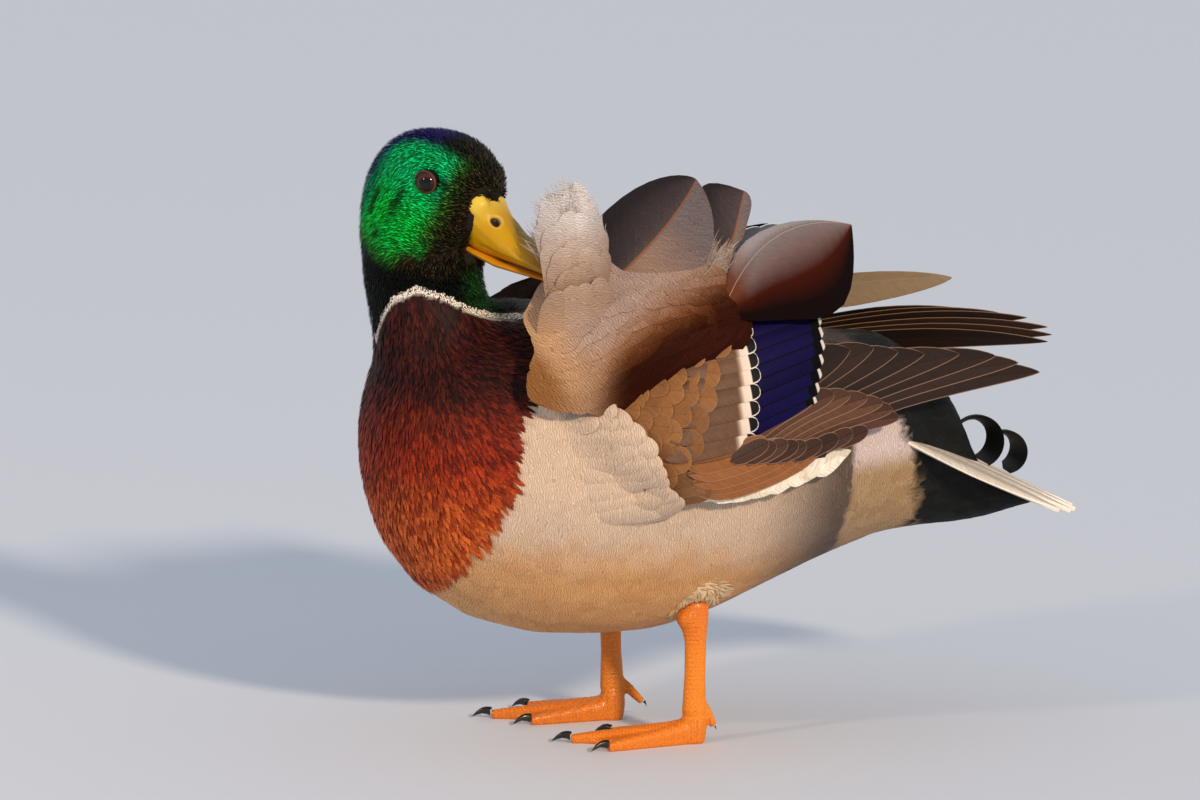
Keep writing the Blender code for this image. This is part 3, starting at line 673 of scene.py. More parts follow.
def coat(name, surface, where, spacing, length, width, vane, material, slot, seed, paint, shape=FINE,
         rise=1.3, sink=0.3, thickness=0.12, upright=False, stray=0.12, clear=None, hug=True):
    """One piece of feathers scattered on the skin. With hug, every point of a vane follows the skin."""
    chance = np.random.default_rng(seed + 100)
    roots, normals = surface.scatter(where, spacing, seed)
    way = lie(roots, normals)
    way = unit(way + np.cross(normals, way) * chance.normal(0, stray, (len(roots), 1)))
    if clear is not None:
        kept = clear(roots, way, length)
        roots, way = roots[kept], way[kept]
    count, each = len(roots), len(vane.row)
    lengths = length * chance.uniform(0.85, 1.15, count)
    rises = rise * chance.uniform(0.75, 1.3, count)
    spine, side, facing = follow(surface, roots, way, lengths, vane.stations, rises, sink)
    half = width / 2 * chance.uniform(0.85, 1.15, count)[:, None, None]
    reach = side * outline(vane.stations, **shape)[None, :, None] * half
    points, faces, map_mm, rim = vanes(vane, spine, -reach, reach, facing, thickness, COAT_CAMBER, lengths)
    random = chance.random(count)
    many = np.repeat(random, each)
    if hug:
        heights = rises[:, None] * vane.along - sink + thickness * vane.side
        points = hugged(surface, points, heights.ravel())
        shown = paint(points, facing[:, vane.row].reshape(-1, 3), many)
    else:
        spot = len(vane.stations) * 2 // 3
        shown = np.repeat(paint(spine[:, spot], facing[:, spot], random), each, axis=0)
    patch = np.column_stack([vane.across, vane.along * 2 - 1]) * PATCH / 2
    bake = on_unwrap(roots, upright)[:, None] + patch
    mesh_piece(name, points, faces, material, maps={"Vane": map_mm, "OFBake": bake.reshape(-1, 2)},
               colours=(shown, many), rim=rim, crisp=50 if hug else None)


# ---------------------------------------------------------------- markings, painted sheen and painted shade


def wavering(points, size, seed):
    """A smooth value from about -1 to 1 at each point, for uneven borders."""
    shift = Vector((seed * 17.3, seed * 5.1, seed * 9.7))
    return np.array([noise.noise(Vector(p) / size + shift) for p in points])


def above_collar(points):
    """How far above the white collar a point lies. The collar arches up on the neck's two sides."""
    turn = np.degrees(np.arctan2(np.abs(points[:, 1] - NECK_AXIS[1]), points[:, 0] - NECK_AXIS[0]))
    return points[:, 2] - np.interp(turn, (0, 20, 60, 85, 110, 135, 160, 180),
                                    (196, 197.5, 205.5, 212, 215.5, 210, 198, 189))


def breast_edge(points):
    """Positive on the chestnut breast and negative on the grey flank."""
    edge = np.interp(points[:, 2], (60, 87, 95, 110, 130, 150, 163, 176, 200),
                     (-147, -138, -134, -126, -119, -116, -114, -103, -97))
    return edge - points[:, 0] + 3.0 * wavering(points, 9.0, 3)


def rump_edge(points):
    """Positive on the black rump and undertail."""
    edge = np.interp(points[:, 2], (85, 100, 125, 140, 165, 200), (91, 88, 86, 79, 64, 52))
    return points[:, 0] - edge + 1.5 * wavering(points, 7.0, 8)


def head_colour(points, random):
    """Emerald sides, a dark face, a violet crown and nape as painted sheen, and painted shade in small dents
    in the cheek.
    """
    x, y, z = in_head(points).T
    glow = random ** 1.2
    brown = mixed("#15100a", "#54481f", random ** 3)
    moss = mixed("#12280c", "#5c9a2a", random ** 2)
    black = mixed("#070808", "#15160f", glow)
    # The crown is painted black as shade, where the green gives back no light.
    crown = ramp(z, 10.5, 16.0)
    colour = mixed(mixed("#037a1e", "#0cff5c", glow), mixed("#03783a", "#10ff98", glow),
                   ramp(z, -22.0, -2.0))
    # Teal at the back of the head and violet along the rear of the crown are painted iridescent sheen.
    for tone, share in ((mixed("#03283a", "#0aa07a", glow), ramp(x, -20.0, -31.0) * 0.8),
                        (moss, ramp(x, 4.0, 12.0) * ramp(z, -34.0, -20.0)),
                        (moss, ramp(z, -32.0, -42.0) * 0.7),
                        (brown, np.maximum(ramp(x, 11.0, 17.0),
                                           ramp(z, -26.0, -36.0) * ramp(x, -2.0, 10.0))),
                        (black, crown),
                        (mixed("#0a0824", "#2e2084", glow),
                         ramp(np.abs(y), 18.5, 11.0) * ramp(x, -1.0, -11.0)),
                        (brown, crown * ramp(x, -4.0, 8.0) * 0.8)):
        colour = mixed(colour, tone, share)
    # Small dark marks in the cheek are painted shade in dents between the feathers.
    for place, high, wide, tall in ((-22.0, -22.0, 2.0, 7.0), (-9.5, -16.5, 2.0, 7.0),
                                    (-12.0, -33.0, 2.0, 3.0), (7.5, 0.0, 2.6, 2.6)):
        far = np.hypot((x - place) / wide, (z - high) / tall)
        colour = mixed(colour, black, ramp(far, 1.5, 0.5) * 0.8)
    return colour


def neck_colour(points, random):
    """Black below the cheek as painted shade, and greener on the side that faces back as painted sheen."""
    return mixed(mixed("#050606", "#10140f", random), mixed("#0a2410", "#3f8a2c", random ** 2),
                 ramp(points[:, 0], -134.0, -124.0) * 0.8)


def breast_colour(points, random):
    """Nearly black at the top, chestnut, and rust below."""
    height = points[:, 2] + 5 * wavering(points, 16.0, 5)
    colour = mixed(mixed("#1a0709", "#48180f", random ** 1.5), mixed("#521409", "#a03214", random),
                   ramp(height, 176.0, 138.0))
    return mixed(colour, mixed("#8a2c0e", "#d4682c", random), ramp(height, 140.0, 100.0))


def flank_colour(points, random):
    """Pale grey, buff underneath as painted warm light, darker towards the rear as painted shade, and a
    cream and white patch by the rump.
    """
    x, height = points[:, 0], points[:, 2]
    belly = height + 0.085 * (x + 100) + 7 * wavering(points, 12.0, 6)
    rear = ramp(x, 46.0, 50.0)
    patch = mixed(mixed("#9c7c52", "#aa8b64", random), "#dccfd0", ramp(height, 124.0, 136.0) * 0.8)
    # The buff underneath is painted warm light on the belly.
    colour = mixed(mixed(*FLANK_GREY, random), mixed("#c8925a", "#d6a268", random),
                   ramp(belly, 112.0, 84.0) * 0.9)
    # Painted shade darkens the flank towards the rear.
    colour = mixed(colour, mixed("#483a33", "#50423a", random), ramp(x, -10.0, 46.0) * (1 - rear) * 0.95)
    return mixed(colour, patch, rear * 0.9)


def body_colour(points, normals, random):
    """The whole bird's markings, with the painted sheen and shade of the head, neck and flank: the same for
    the skin and for the coat.
    """
    x, z = points[:, 0], points[:, 2]
    above = above_collar(points)
    near_neck = ramp(z, 180.0, 188.0) * ramp(x, -104.0, -110.0)
    dark_back = ramp(normals[:, 2], 0.55, 0.8) * ramp(z, 150.0, 165.0) * ramp(x, -112.0, -104.0)
    head = ramp(in_head(points)[:, 2], -46.0, -38.0) * ramp(z, 218.0, 226.0)
    colour = mixed(flank_colour(points, random), breast_colour(points, random),
                   ramp(breast_edge(points), -1.5, 1.5))
    colour = mixed(colour, mixed("#2c241f", "#55483e", random), dark_back)
    colour = mixed(colour, mixed("#060707", "#131511", random), ramp(rump_edge(points), -1.0, 1.0))
    colour = mixed(colour, "#dccfc2", ramp(np.abs(above - 1.2), 2.2, 1.4) * near_neck)
    return mixed(colour, mixed(neck_colour(points, random), head_colour(points, random), head),
                 ramp(above, -1.0, 1.0) * near_neck)


def collar_colour(points, normals, random):
    return mixed("#2a0f0a", mixed("#e6dace", "#f0e6dc", random), ramp(above_collar(points), -1.0, -0.2))


def breast_plumes(points, normals, random):
    """Chestnut right to the tips of the last plumes, which lie over the pale flank."""
    return mixed(body_colour(points, normals, random), breast_colour(points, random),
                 ramp(above_collar(points), 0.6, -0.4))


def cuff_colour(points, normals, random):
    return mixed("#b8956a", "#e0caa6", random)


# ---------------------------------------------------------------- the coat


def clear_of_eyes(roots, way, length):
    """Leaves out feathers that would lie over an eye."""
    kept = np.ones(len(roots), bool)
    for hand in (-1, 1):
        eye = from_head((0.0, hand * (EYE_OUT + 3.0), EYE_DROP))
        for reach in (0.0, 0.5, 1.0):
            kept &= size_of(roots + way * length * reach - eye) > LID_CLEAR
    return kept


def on_neck(points):
    return (points[:, 2] > 184) & (points[:, 0] < -102)


def head_zone(points):
    x, y, z = in_head(points).T
    corner = (x > 23.0) & (np.abs(y) > 3.0) & (z > -16)
    return (above_collar(points) > 5.8) & on_neck(points) & (past_face(points) < -0.3) & ~corner


def collar_zone(points):
    nape = (np.abs(points[:, 1] - NECK_AXIS[1]) < 7) & (points[:, 0] > -135)
    return (np.abs(above_collar(points) - 2.7) < 1.5) & on_neck(points) & ~nape


def upper_breast_zone(points):
    low = above_collar(points) < -0.2
    return (breast_edge(points) > 2.5) & (points[:, 2] > 132) & (low | ~on_neck(points))


def lower_breast_zone(points):
    return (breast_edge(points) > 2.5) & (points[:, 2] < 138)


def flank_zone(points):
    shoulder = (points[:, 0] > -106) | (points[:, 2] < 192)
    return (breast_edge(points) < 8) & (rump_edge(points) < 2) & shoulder & (on_leg(points) < 0.6)


def thigh_zone(points):
    return on_leg(points) > 0.2


def rump_zone(points):
    return rump_edge(points) > -2


def coats(surface):
    # Glossy keratin, partly metal-like, which makes the head's green shimmer.
    silky = plumage("head_plumes_glossy_keratin", 0.38, metallic=0.55, specular=0.2, barbs=0.3, barb_mm=0.5)
    # Breast plumes have a low gloss, and barbs coarse enough to show as streaks.
    maroon = plumage("breast_plumes_maroon_gloss", 0.55, specular=0.12, barbs=0.4, barb_mm=0.5)
    # Rust plumes are a little duller than the maroon ones.
    rust = plumage("breast_plumes_rust_fringed", 0.6, specular=0.12, barbs=0.3, barb_mm=0.6)
    # Flank plumes are matt, crossed by fine wavy lines.
    grey = plumage("flank_plumes_vermiculated", 0.65, specular=0.2, **FLANK_LINES)
    # Collar plumes are matt, and their barbs hardly show.
    white = plumage("collar_plumes_white", 0.7, barbs=0.1)
    # Rump plumes are nearly matt and black.
    black = plumage("rump_plumes_black_gloss", 0.6, specular=0.15, barbs=0.3)
    coat("coat_head", surface, head_zone, 0.72, 3.6, 0.9, HEAD_VANE, silky, "head_feathers", 1, body_colour,
         rise=2.0, thickness=0.09, upright=True, clear=clear_of_eyes, hug=False)
    coat("coat_collar", surface, collar_zone, 0.6, 2.2, 1.2, HEAD_VANE, white, "neck_feathers", 2,
         collar_colour, rise=0.5, thickness=0.05, upright=True, stray=0.02)
    coat("coat_breast_upper", surface, upper_breast_zone, 1.35, 8.0, 2.0, FINE_VANE, maroon, "neck_feathers",
         3, breast_plumes, rise=1.2, stray=0.16, thickness=0.07)
    coat("coat_breast_lower", surface, lower_breast_zone, 1.7, 8.5, 3.0, FINE_VANE, rust, "neck_feathers",
         6, breast_plumes, stray=0.16, thickness=0.07)
    coat("coat_flanks", surface, flank_zone, 4.0, 24.0, 11.0, BODY_VANE, grey, "body_feathers", 4,
         body_colour, LEAF, rise=0.3, sink=0.05, stray=0.05, thickness=0.03)
    coat("coat_thighs", surface, thigh_zone, 1.1, 7.0, 1.8, FINE_VANE, white, "body_feathers", 7,
         cuff_colour)
    coat("coat_rump", surface, rump_zone, 3.0, 15.0, 5.0, FINE_VANE, black, "tail_feathers", 5, body_colour,
         LEAF, rise=0.4, sink=0.05, thickness=0.03)


# ---------------------------------------------------------------- rows of feathers


def quadratic(spots, centre, size):
    s, t = ((spots - centre) / size).T
    return np.column_stack([np.ones_like(s), s, t, s * s, s * t, t * t])


def fitted(terms, hits):
    """A smooth surface near the hits. Hits far off it, at most a fifth, are left out."""
    for _ in range(2):
        steady = 0.002 * len(hits) * np.diag([0.0, 1.0, 1.0, 1.0, 1.0, 1.0])
        fit = np.linalg.solve(terms.T @ terms + steady, terms.T @ hits)
        miss = np.abs(terms @ fit - hits)
        good = miss <= max(2.0, np.percentile(miss, 80))
        terms, hits = terms[good], hits[good]
    return fit


def node_tree(names):
    """What rays find on these nodes, in drawing millimetres."""
    points, faces = [], []
    for name in names:
        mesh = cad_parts[name].data
        faces += [[len(points) + i for i in face.vertices] for face in mesh.polygons]
        points += [Vector(p) for p in drawn(points_of(mesh))]
    return BVHTree.FromPolygons(points, faces)


def lay_on(tree, hand, plan, lift, together):
    """Feathers drawn in the side view, laid on a surface. plan holds each point's x and z, (F, P, 2).
    The height over the plane is a smooth fit to where rays from the bird's side strike."""
    spots = plan[:, np.linspace(0, plan.shape[1] - 1, 40).astype(int)]
    strikes = np.full(spots.shape[:2], np.nan)
    for place in np.ndindex(*strikes.shape):
        x, z = spots[place]
        hit = tree.ray_cast(Vector((x, hand * 200.0, z)), Vector((0.0, -hand, 0.0)))[0]
        if hit is not None:
            strikes[place] = hit.y
    met = ~np.isnan(strikes)
    centre, size = spots.reshape(-1, 2).mean(0), np.ptp(spots.reshape(-1, 2), axis=0).max() / 2
    whole = fitted(quadratic(spots[met], centre, size), strikes[met])
    high = np.empty(plan.shape[:2])
    for i in range(len(plan)):
        if together or met[i].sum() < 12:
            high[i] = quadratic(plan[i], centre, size) @ whole
            continue
        middle, reach = plan[i].mean(0), np.ptp(plan[i], axis=0).max() / 2
        fit = fitted(quadratic(spots[i, met[i]], middle, reach), strikes[i, met[i]])
        high[i] = quadratic(plan[i], middle, reach) @ fit
    return np.stack([plan[..., 0], high + hand * lift, plan[..., 1]], axis=-1)


def tract(name, hand, nodes, roots, tips, widths, count, material, paint, seed, shape, vane=FLIGHT_VANE,
          slot="body_feathers", bow=0.0, under=None, layers=(0.0,), tilt=0.0, rise=0.0, thickness=0.16,
          camber=0.04, replaced=(), jitter=0.0, together=False, shift=RIGHT_WING_SHIFT):
    """A row of feathers laid over these nodes. roots, tips, widths (above and below the shaft) and layers
    (how far out the feathers stand) run along the row; tilt lifts the lower edge; rise lifts the tip;
    under is the outline below the shaft; together lays the row on one smooth surface."""
    chance = np.random.default_rng(seed)
    share = np.linspace(0, 1, count)
    start, end, wide = (along_list(line, share) for line in (roots, tips, widths))
    start += chance.normal(0, 1, start.shape) * jitter
    end += chance.normal(0, 1, end.shape) * jitter
    layer = np.interp(share, np.linspace(0, 1, len(layers)), layers)[:, None, None]
    v = vane.stations
    run = end - start
    length = size_of(run)
    up = np.column_stack([-run[:, 1], run[:, 0]]) / length[:, None]
    up *= np.where(up[:, 1:] < 0, -1, 1)
    arc = (4 * v * (1 - v))[None, :, None] * (bow * length)[:, None, None] * up[:, None]
    middle = start[:, None] + run[:, None] * v[None, :, None] + arc
    reach = np.linspace(-1, 1, 5)
    span = np.where(reach < 0, outline(v, **(under or shape))[:, None], outline(v, **shape)[:, None])
    half = reach * np.where(reach < 0, wide[:, 1:], wide[:, :1])
    plan = middle[:, :, None] + up[:, None, None] * (half[:, None] * span)[..., None]
    lift = layer + rise * v[None, :, None] * length[:, None, None] / 30 - tilt * half[:, None]
    if hand == RIGHT:
        plan = plan + shift[::2]
    laid = lay_on(node_tree(nodes), hand, plan.reshape(count, -1, 2), lift.reshape(count, -1), together)
    low, _, spine, _, high = np.moveaxis(laid.reshape(count, len(v), 5, 3), 2, 0)
    lean = up[:, None][..., [0, 0, 1]] * 1e-3 * np.array((1, 0, 1))
    normal = unit(np.cross(np.gradient(spine, axis=1), high - low + lean))
    normal *= np.where(normal[..., 1:2] * hand < 0, -1, 1)
    if hand == LEFT:
        low, high = high, low
    points, faces, map_mm, rim = vanes(vane, spine, low - spine, high - spine, normal, thickness, camber,
                                       length)
    random = np.repeat(chance.random(count), len(vane.row))
    colour = paint(points, np.tile(hand * vane.across, count), np.tile(vane.along, count), random)
    side = math.ceil(math.sqrt(count))
    maps = {"Vane": map_mm, "OFBake": bake_map(vane, count, side, side)}
    mesh_piece(name, points, faces[:, ::hand], material, replaced, maps, (colour, random), rim,
               crisp=50)


# Paints colour a row's points by place, by how far they lie above the shaft, by how far along from the
# root, and by a random share for each feather.


def two_tone(low, high, dark_upper=0.0):
    """Paint that varies from feather to feather, darker on the upper vane by a share."""
    def paint(points, upward, along, random):
        return mixed(low, high, random) * (1 - dark_upper * ramp(upward, -0.05, 0.1))[:, None]
    return paint


def tertial_paint(points, upward, along, random):
    """Silver grey over the shaft, and below it grey turning rust and then nearly black."""
    below = np.clip(-upward, 0, 1)
    colour = mixed(mixed("#73686a", "#9a9294", ramp(upward, 0.0, 0.8)),
                   mixed("#5e3018", "#3c1002", ramp(below, 0.2, 0.5)),
                   np.maximum(ramp(below, 0.04, 0.42), ramp(along, 0.35, 0.1)))
    return mixed(colour, "#0e0302", ramp(below, 0.42, 0.8))


def scapular_paint(points, upward, along, random):
    """Pale lilac grey above, tan in the middle, and deep brown along the rear lower edge, deepened by
    painted shade.
    """
    x, z = points[:, 0], points[:, 2]
    above = z - np.interp(x, *np.array(SCAPULAR_LOW[LEFT], float).T) + (random - 0.5) * 2
    brown_and_shade = mixed("#280a02", "#341004", random)
    front, rear = ramp(x, -84.0, -106.0), ramp(x, -92.0, -66.0)
    colour = mixed(mixed("#a88466", "#b08c6e", random), mixed("#a08a80", "#aa948a", random),
                   ramp(above, 16.0, 38.0))
    for tone, share in ((mixed("#bb936c", "#c59c74", random), front * ramp(z, 226.0, 205.0) * 0.8),
                        (mixed("#6a3a1a", "#744220", random), ramp(above, 36.0, 14.0) * rear),
                        ("#80501f", ramp(above, 17.0, 3.0) * front * 0.85),
                        # Along the rear lower edge, where the surface curls under, the feathers' brown is
                        # deepened by painted shade.
                        (brown_and_shade, ramp(above, 24.0, 7.0) * rear),
                        # Painted shade darkens the rear top, under the tertials and plumes.
                        (brown_and_shade, ramp(x, -40.0, -14.0) * ramp(z, 224.0, 208.0) * 0.9)):
        colour = mixed(colour, tone, share)
    return colour


def tuft_paint(points, upward, along, random):
    """Tan grey at the foot and nearly white at the top."""
    height = points[:, 2]
    colour = mixed(mixed("#977b66", "#9f836e", random), mixed("#a69182", "#b29d90", random),
                   ramp(height, 218.0, 238.0))
    return mixed(colour, mixed("#c0bbbc", "#d0cbcb", random), ramp(height, 232.0, 258.0))


def tuft_foot_paint(points, upward, along, random):
    """From the shoulder's colours at the root to the tuft's own at the tip."""
    return mixed(scapular_paint(points, upward, along, random),
                 tuft_paint(points + (0, 0, 6), upward, along, random), ramp(points[:, 2], 196.0, 222.0))


def plume_paint(points, upward, along, random):
    """A front vane painted near black as shade, and a pale rear vane that is browner at its root."""
    return mixed(mixed("#866b5c", "#675d5f", ramp(along, 0.3, 0.8)),
                 mixed("#1e1719", "#3c3335", ramp(upward, 0.9, 0.2)), ramp(upward, 0.0, 0.05))


def tail_paint(points, upward, along, random):
    """Cream, browner along the shaft."""
    return mixed(mixed("#c8bcac", "#ddd3c6", random), "#8a7460", ramp(np.abs(upward), 0.45, 0.1) * 0.45)


# ---------------------------------------------------------------- wings and shoulders


def wing(hand):
    side = SIDES[hand]
    shell = [f"wing_{part}_{side}" for part in ("coverts", "secondaries", "primaries", "alula")]

    def row(name, *measures, part=None, **settings):
        settings = dict(tilt=0.05, together=True, slot="wing_feathers") | settings
        replaced = [f"wing_{part}_{side}"] if part else ()
        tract(f"{name}_{side}", hand, shell, *measures, replaced=replaced, **settings)

    # Flight feathers are brown keratin: a satin vane, a pale edge and a dark shaft.
    quill = plumage(f"primary_quills_brown_keratin_{side}", 0.5, barbs=0.14, barb_mm=0.7,
                    edge=("#a88670", 0.5, 0.5), shaft=("#1c100c", 0.4, 0.5), relief=0.08)
    # Coverts have buff edges that part each feather from the next.
    scallop = plumage(f"covert_vanes_brown_keratin_{side}", 0.55, barbs=0.14, barb_mm=0.7,
                      edge=("#b08458", 0.5, 0.25), shaft=("#5a3a20", 0.35, 0.35), relief=0.08)
    # The speculum's violet blue comes from structure, so it is partly metal-like. The vanes end in a
    # black bar and a white one.
    mirror = plumage(f"speculum_violet_blue_vanes_{side}", 0.5, metallic=0.3, specular=0.1, barbs=0.2,
                     barb_mm=0.6, edge=("#050409", 0.8, 0.9), relief=0.06,
                     bands=((0.0, "#dcd2c8", 1.0), (1.9, "#dcd2c8", 1.0), (2.4, "#040306", 1.0),
                            (6.2, "#040306", 1.0), (7.4, "#040306", 0.0)))
    # Greater coverts have a black tip bar and a pale one behind it.
    barred = plumage(f"greater_covert_vanes_barred_{side}", 0.5, barbs=0.14,
                     edge=("#efe4d8", 0.75, 0.85), edge_reach=7.0, relief=0.08,
                     bands=((0.0, "#070506", 1.0), (4.6, "#070506", 1.0), (5.1, "#dccdc0", 1.0),
                            (8.6, "#d6c4b4", 1.0), (11.5, "#94745a", 0.0)))
    # Down is matt and white.
    down = plumage(f"underwing_down_white_{side}", 0.75, barbs=0.2)
    if hand == LEFT:
        row("primaries", [(-6, 160), (0, 152), (10, 146)],
            [(45, 185), (60, 184.5), (75, 180.5), (92, 178.5), (119, 176.5), (133, 172), (146, 166)],
            [(10, 6.5), (9, 5.5)], 8, quill, two_tone("#241611", "#2f1f18", 0.15), 11,
            dict(shoulder=0.55, square=2.2, fall=0.75, root=0.2), bow=0.05, layers=(-0.4, -3.6),
            part="primaries")
    else:
        # The far wing's primaries are painted darker than the near wing's, as shade.
        row("primaries", [(24, 158), (26, 152)], [(116, 174), (140, 172), (156, 164.5), (153, 159)],
            [(5.5, 5)], 6, quill, two_tone("#160b05", "#2e1a0c", 0.2), 11, POINTED, bow=0.035,
            layers=(-0.4, -2.8), part="primaries")
    row("primary_coverts", [(-14, 150), (-8, 145), (2, 143)],
        [(23, 167), (35, 167), (45, 165.5), (57, 162), (64, 158), (68, 153)], [(6.5, 4.5), (6, 4)], 7, quill,
        two_tone("#4c3024", "#5e3f2e", 0.4), 12, BLUNT, bow=0.05, layers=(2.4, 0.0))
    row("secondaries", [(-24, 202), (-24, 150)], [(28, 212), (29, 190), (24, 165)], [(5.4, 3.4)], 9, mirror,
        two_tone("#0b0630", "#110a42"), 13, SQUARED, layers=(1.6, 3.2), tilt=0.1, slot="speculum_feathers",
        part="secondaries")
    row("alula", [(-45, 141), (-40, 132), (-37, 126)], [(-4, 150), (12, 147), (26, 146)], [(6, 5.5)], 5,
        quill, two_tone("#80502c", "#905c34", 0.25), 14, BLUNT, bow=-0.05, layers=(4.0, 2.0), part="alula")
    row("edge_coverts", [(-22, 142), (0, 140), (30, 144)], [(-4, 149.5), (16, 147), (50, 150)],
        [(4.6, 4.0)], 9, quill, two_tone("#38231a", "#4a3024", 0.2), 15, ROUNDED, COVERT_VANE,
        layers=(5.0, 2.4), jitter=0.5)
    row("wrist_coverts", [(-53, 136), (-46, 125)], [(-40, 139), (-30, 128)], [(6.0, 5.0)], 4, scallop,
        two_tone("#6e4a30", "#7e5838", 0.1), 16, ROUNDED, COVERT_VANE, layers=(0.4,), rise=5.0,
        together=False)
    row("underwing_edge", [(-58, 126), (-30, 123.5), (0, 126), (26, 133)],
        [(-42, 124.5), (-14, 122.5), (14, 127), (42, 140)], [(2.6, 1.6), (3.0, 2.4), (5.5, 3.4)], 22, down,
        two_tone("#d8cbb6", "#efe6d6"), 17, SILKY, COVERT_VANE, layers=(-0.4, -0.6), jitter=0.7, tilt=0.0,
        together=False)
    row("greater_coverts", [(-40, 200), (-44, 176), (-54, 144)], [(-7.5, 206), (-6, 180), (-9, 151)],
        [(4.0, 3.6)], 9, barred, two_tone("#5e4230", "#6a4b38", 0.15), 18, SQUARED, layers=(2.7, 4.2),
        tilt=0.1, part="coverts")
    for index, (length, size, count, edge) in enumerate(COVERT_ROWS):
        edge = np.array(edge, float)
        slope = np.interp(edge[:, 1], (135, 151, 171, 193), (-0.2, -0.02, 0.1, 0.16))
        aim = np.column_stack([np.full(len(edge), -1.0), slope])
        row(f"coverts_{index}", edge + aim * length, edge, [(size, size)], count, scallop,
            two_tone("#784e2c", "#8f6036", 0.1), 19 + index, ROUNDED, COVERT_VANE, rise=150 / length,
            layers=(0.5 - 0.7 * index,), tilt=0.04, jitter=0.9, together=False)


def tertials(hand):
    """The long inner feathers: the left ones stand over the speculum, the right ones lie on the back."""
    nodes = [f"wing_tertials_{SIDES[hand]}"]
    # Tertials are broad and satin, with a pale shaft.
    broad = plumage(f"tertial_vanes_silky_{SIDES[hand]}", 0.5, specular=0.05, barbs=0.1, barb_mm=0.6,
                    shaft=("#b49c88", 0.35, 0.5), relief=0.05)
    if hand == RIGHT:
        tract("tertials_right", RIGHT, nodes, [(12, 190), (22, 190)], [(104, 202), (119, 204.5)], [(6, 12)],
              3, broad, two_tone("#93795b", "#a58d70"), 71, POINTED, slot="wing_feathers", bow=0.03,
              layers=(0.6, -0.4), tilt=0.02, replaced=nodes, shift=UNSHIFTED)
        return
    # These vanes are grey painted dark slate as shade, where they lie behind the broad tertial, with a satin
    # gloss and a pale edge.
    slate = plumage("tertial_vane_painted_shade", 0.42, barbs=0.1, edge=("#e4e2e2", 0.9, 0.9), relief=0.05)
    tract("tertials_painted_shade", LEFT, nodes, [(-24, 214), (-20, 212)], [(14, 237), (22, 238)], [(6, 5)], 2,
          slate, two_tone("#3c4048", "#50545e"), 72, BLUNT, slot="wing_feathers", bow=0.04,
          layers=(-2.8, -2.4), replaced=nodes)
    tract("tertials_broad", LEFT, nodes, [(-20, 209)], [(54, 238.6)], [(7.5, 34)], 1, broad, tertial_paint,
          73, dict(shoulder=0.2, square=1.2, fall=1.0, root=0.3), slot="wing_feathers", bow=0.14,
          under=dict(shoulder=0.6, square=1.8, fall=1.0, root=0.5), layers=(0.8,), thickness=0.25)


def shoulders(hand):
    side = SIDES[hand]
    nodes = [f"scapulars_{side}"]
    # Shoulder vanes are matt, with fine wavy brown lines.
    wavy = plumage(f"scapular_vanes_vermiculated_{side}", 0.65, specular=0.05, barbs=0.06,
                   lines=("#94745c", 1.1, 0.5, (0.75, 0.65)), relief=0.11)
    even = np.linspace(0, 1, 33)
    low, high = along_list(SCAPULAR_LOW[hand], even), along_list(SCAPULAR_HIGH[hand], even)
    starts = np.linspace(-0.03, 0.78, 9)
    for index, level in enumerate(SCAPULAR_LEVELS):
        line = low * (1 - level) + high * level
        before = np.minimum(starts, 0)[:, None] * 32 * (line[1] - line[0])
        roots = along_list(line, np.clip(starts, 0, 1)) + before - (0.0, 3.0)
        tips = along_list(line, np.clip(starts + 0.34, 0, 1)) + (0.0, 1.5)
        tract(f"scapulars_{index}_{side}", hand, nodes, roots, tips, [(11, 11)], 9, wavy, scapular_paint,
              40 + index, dict(shoulder=0.55, square=2.2, fall=0.5), tilt=0.02, jitter=0.8, camber=0.03,
              layers=(1.6 + 0.2 * index, -0.2 + 0.2 * index), thickness=0.12, shift=UNSHIFTED,
              replaced=nodes if index == 0 else ())
    if hand == LEFT:
        raised_feathers(nodes)


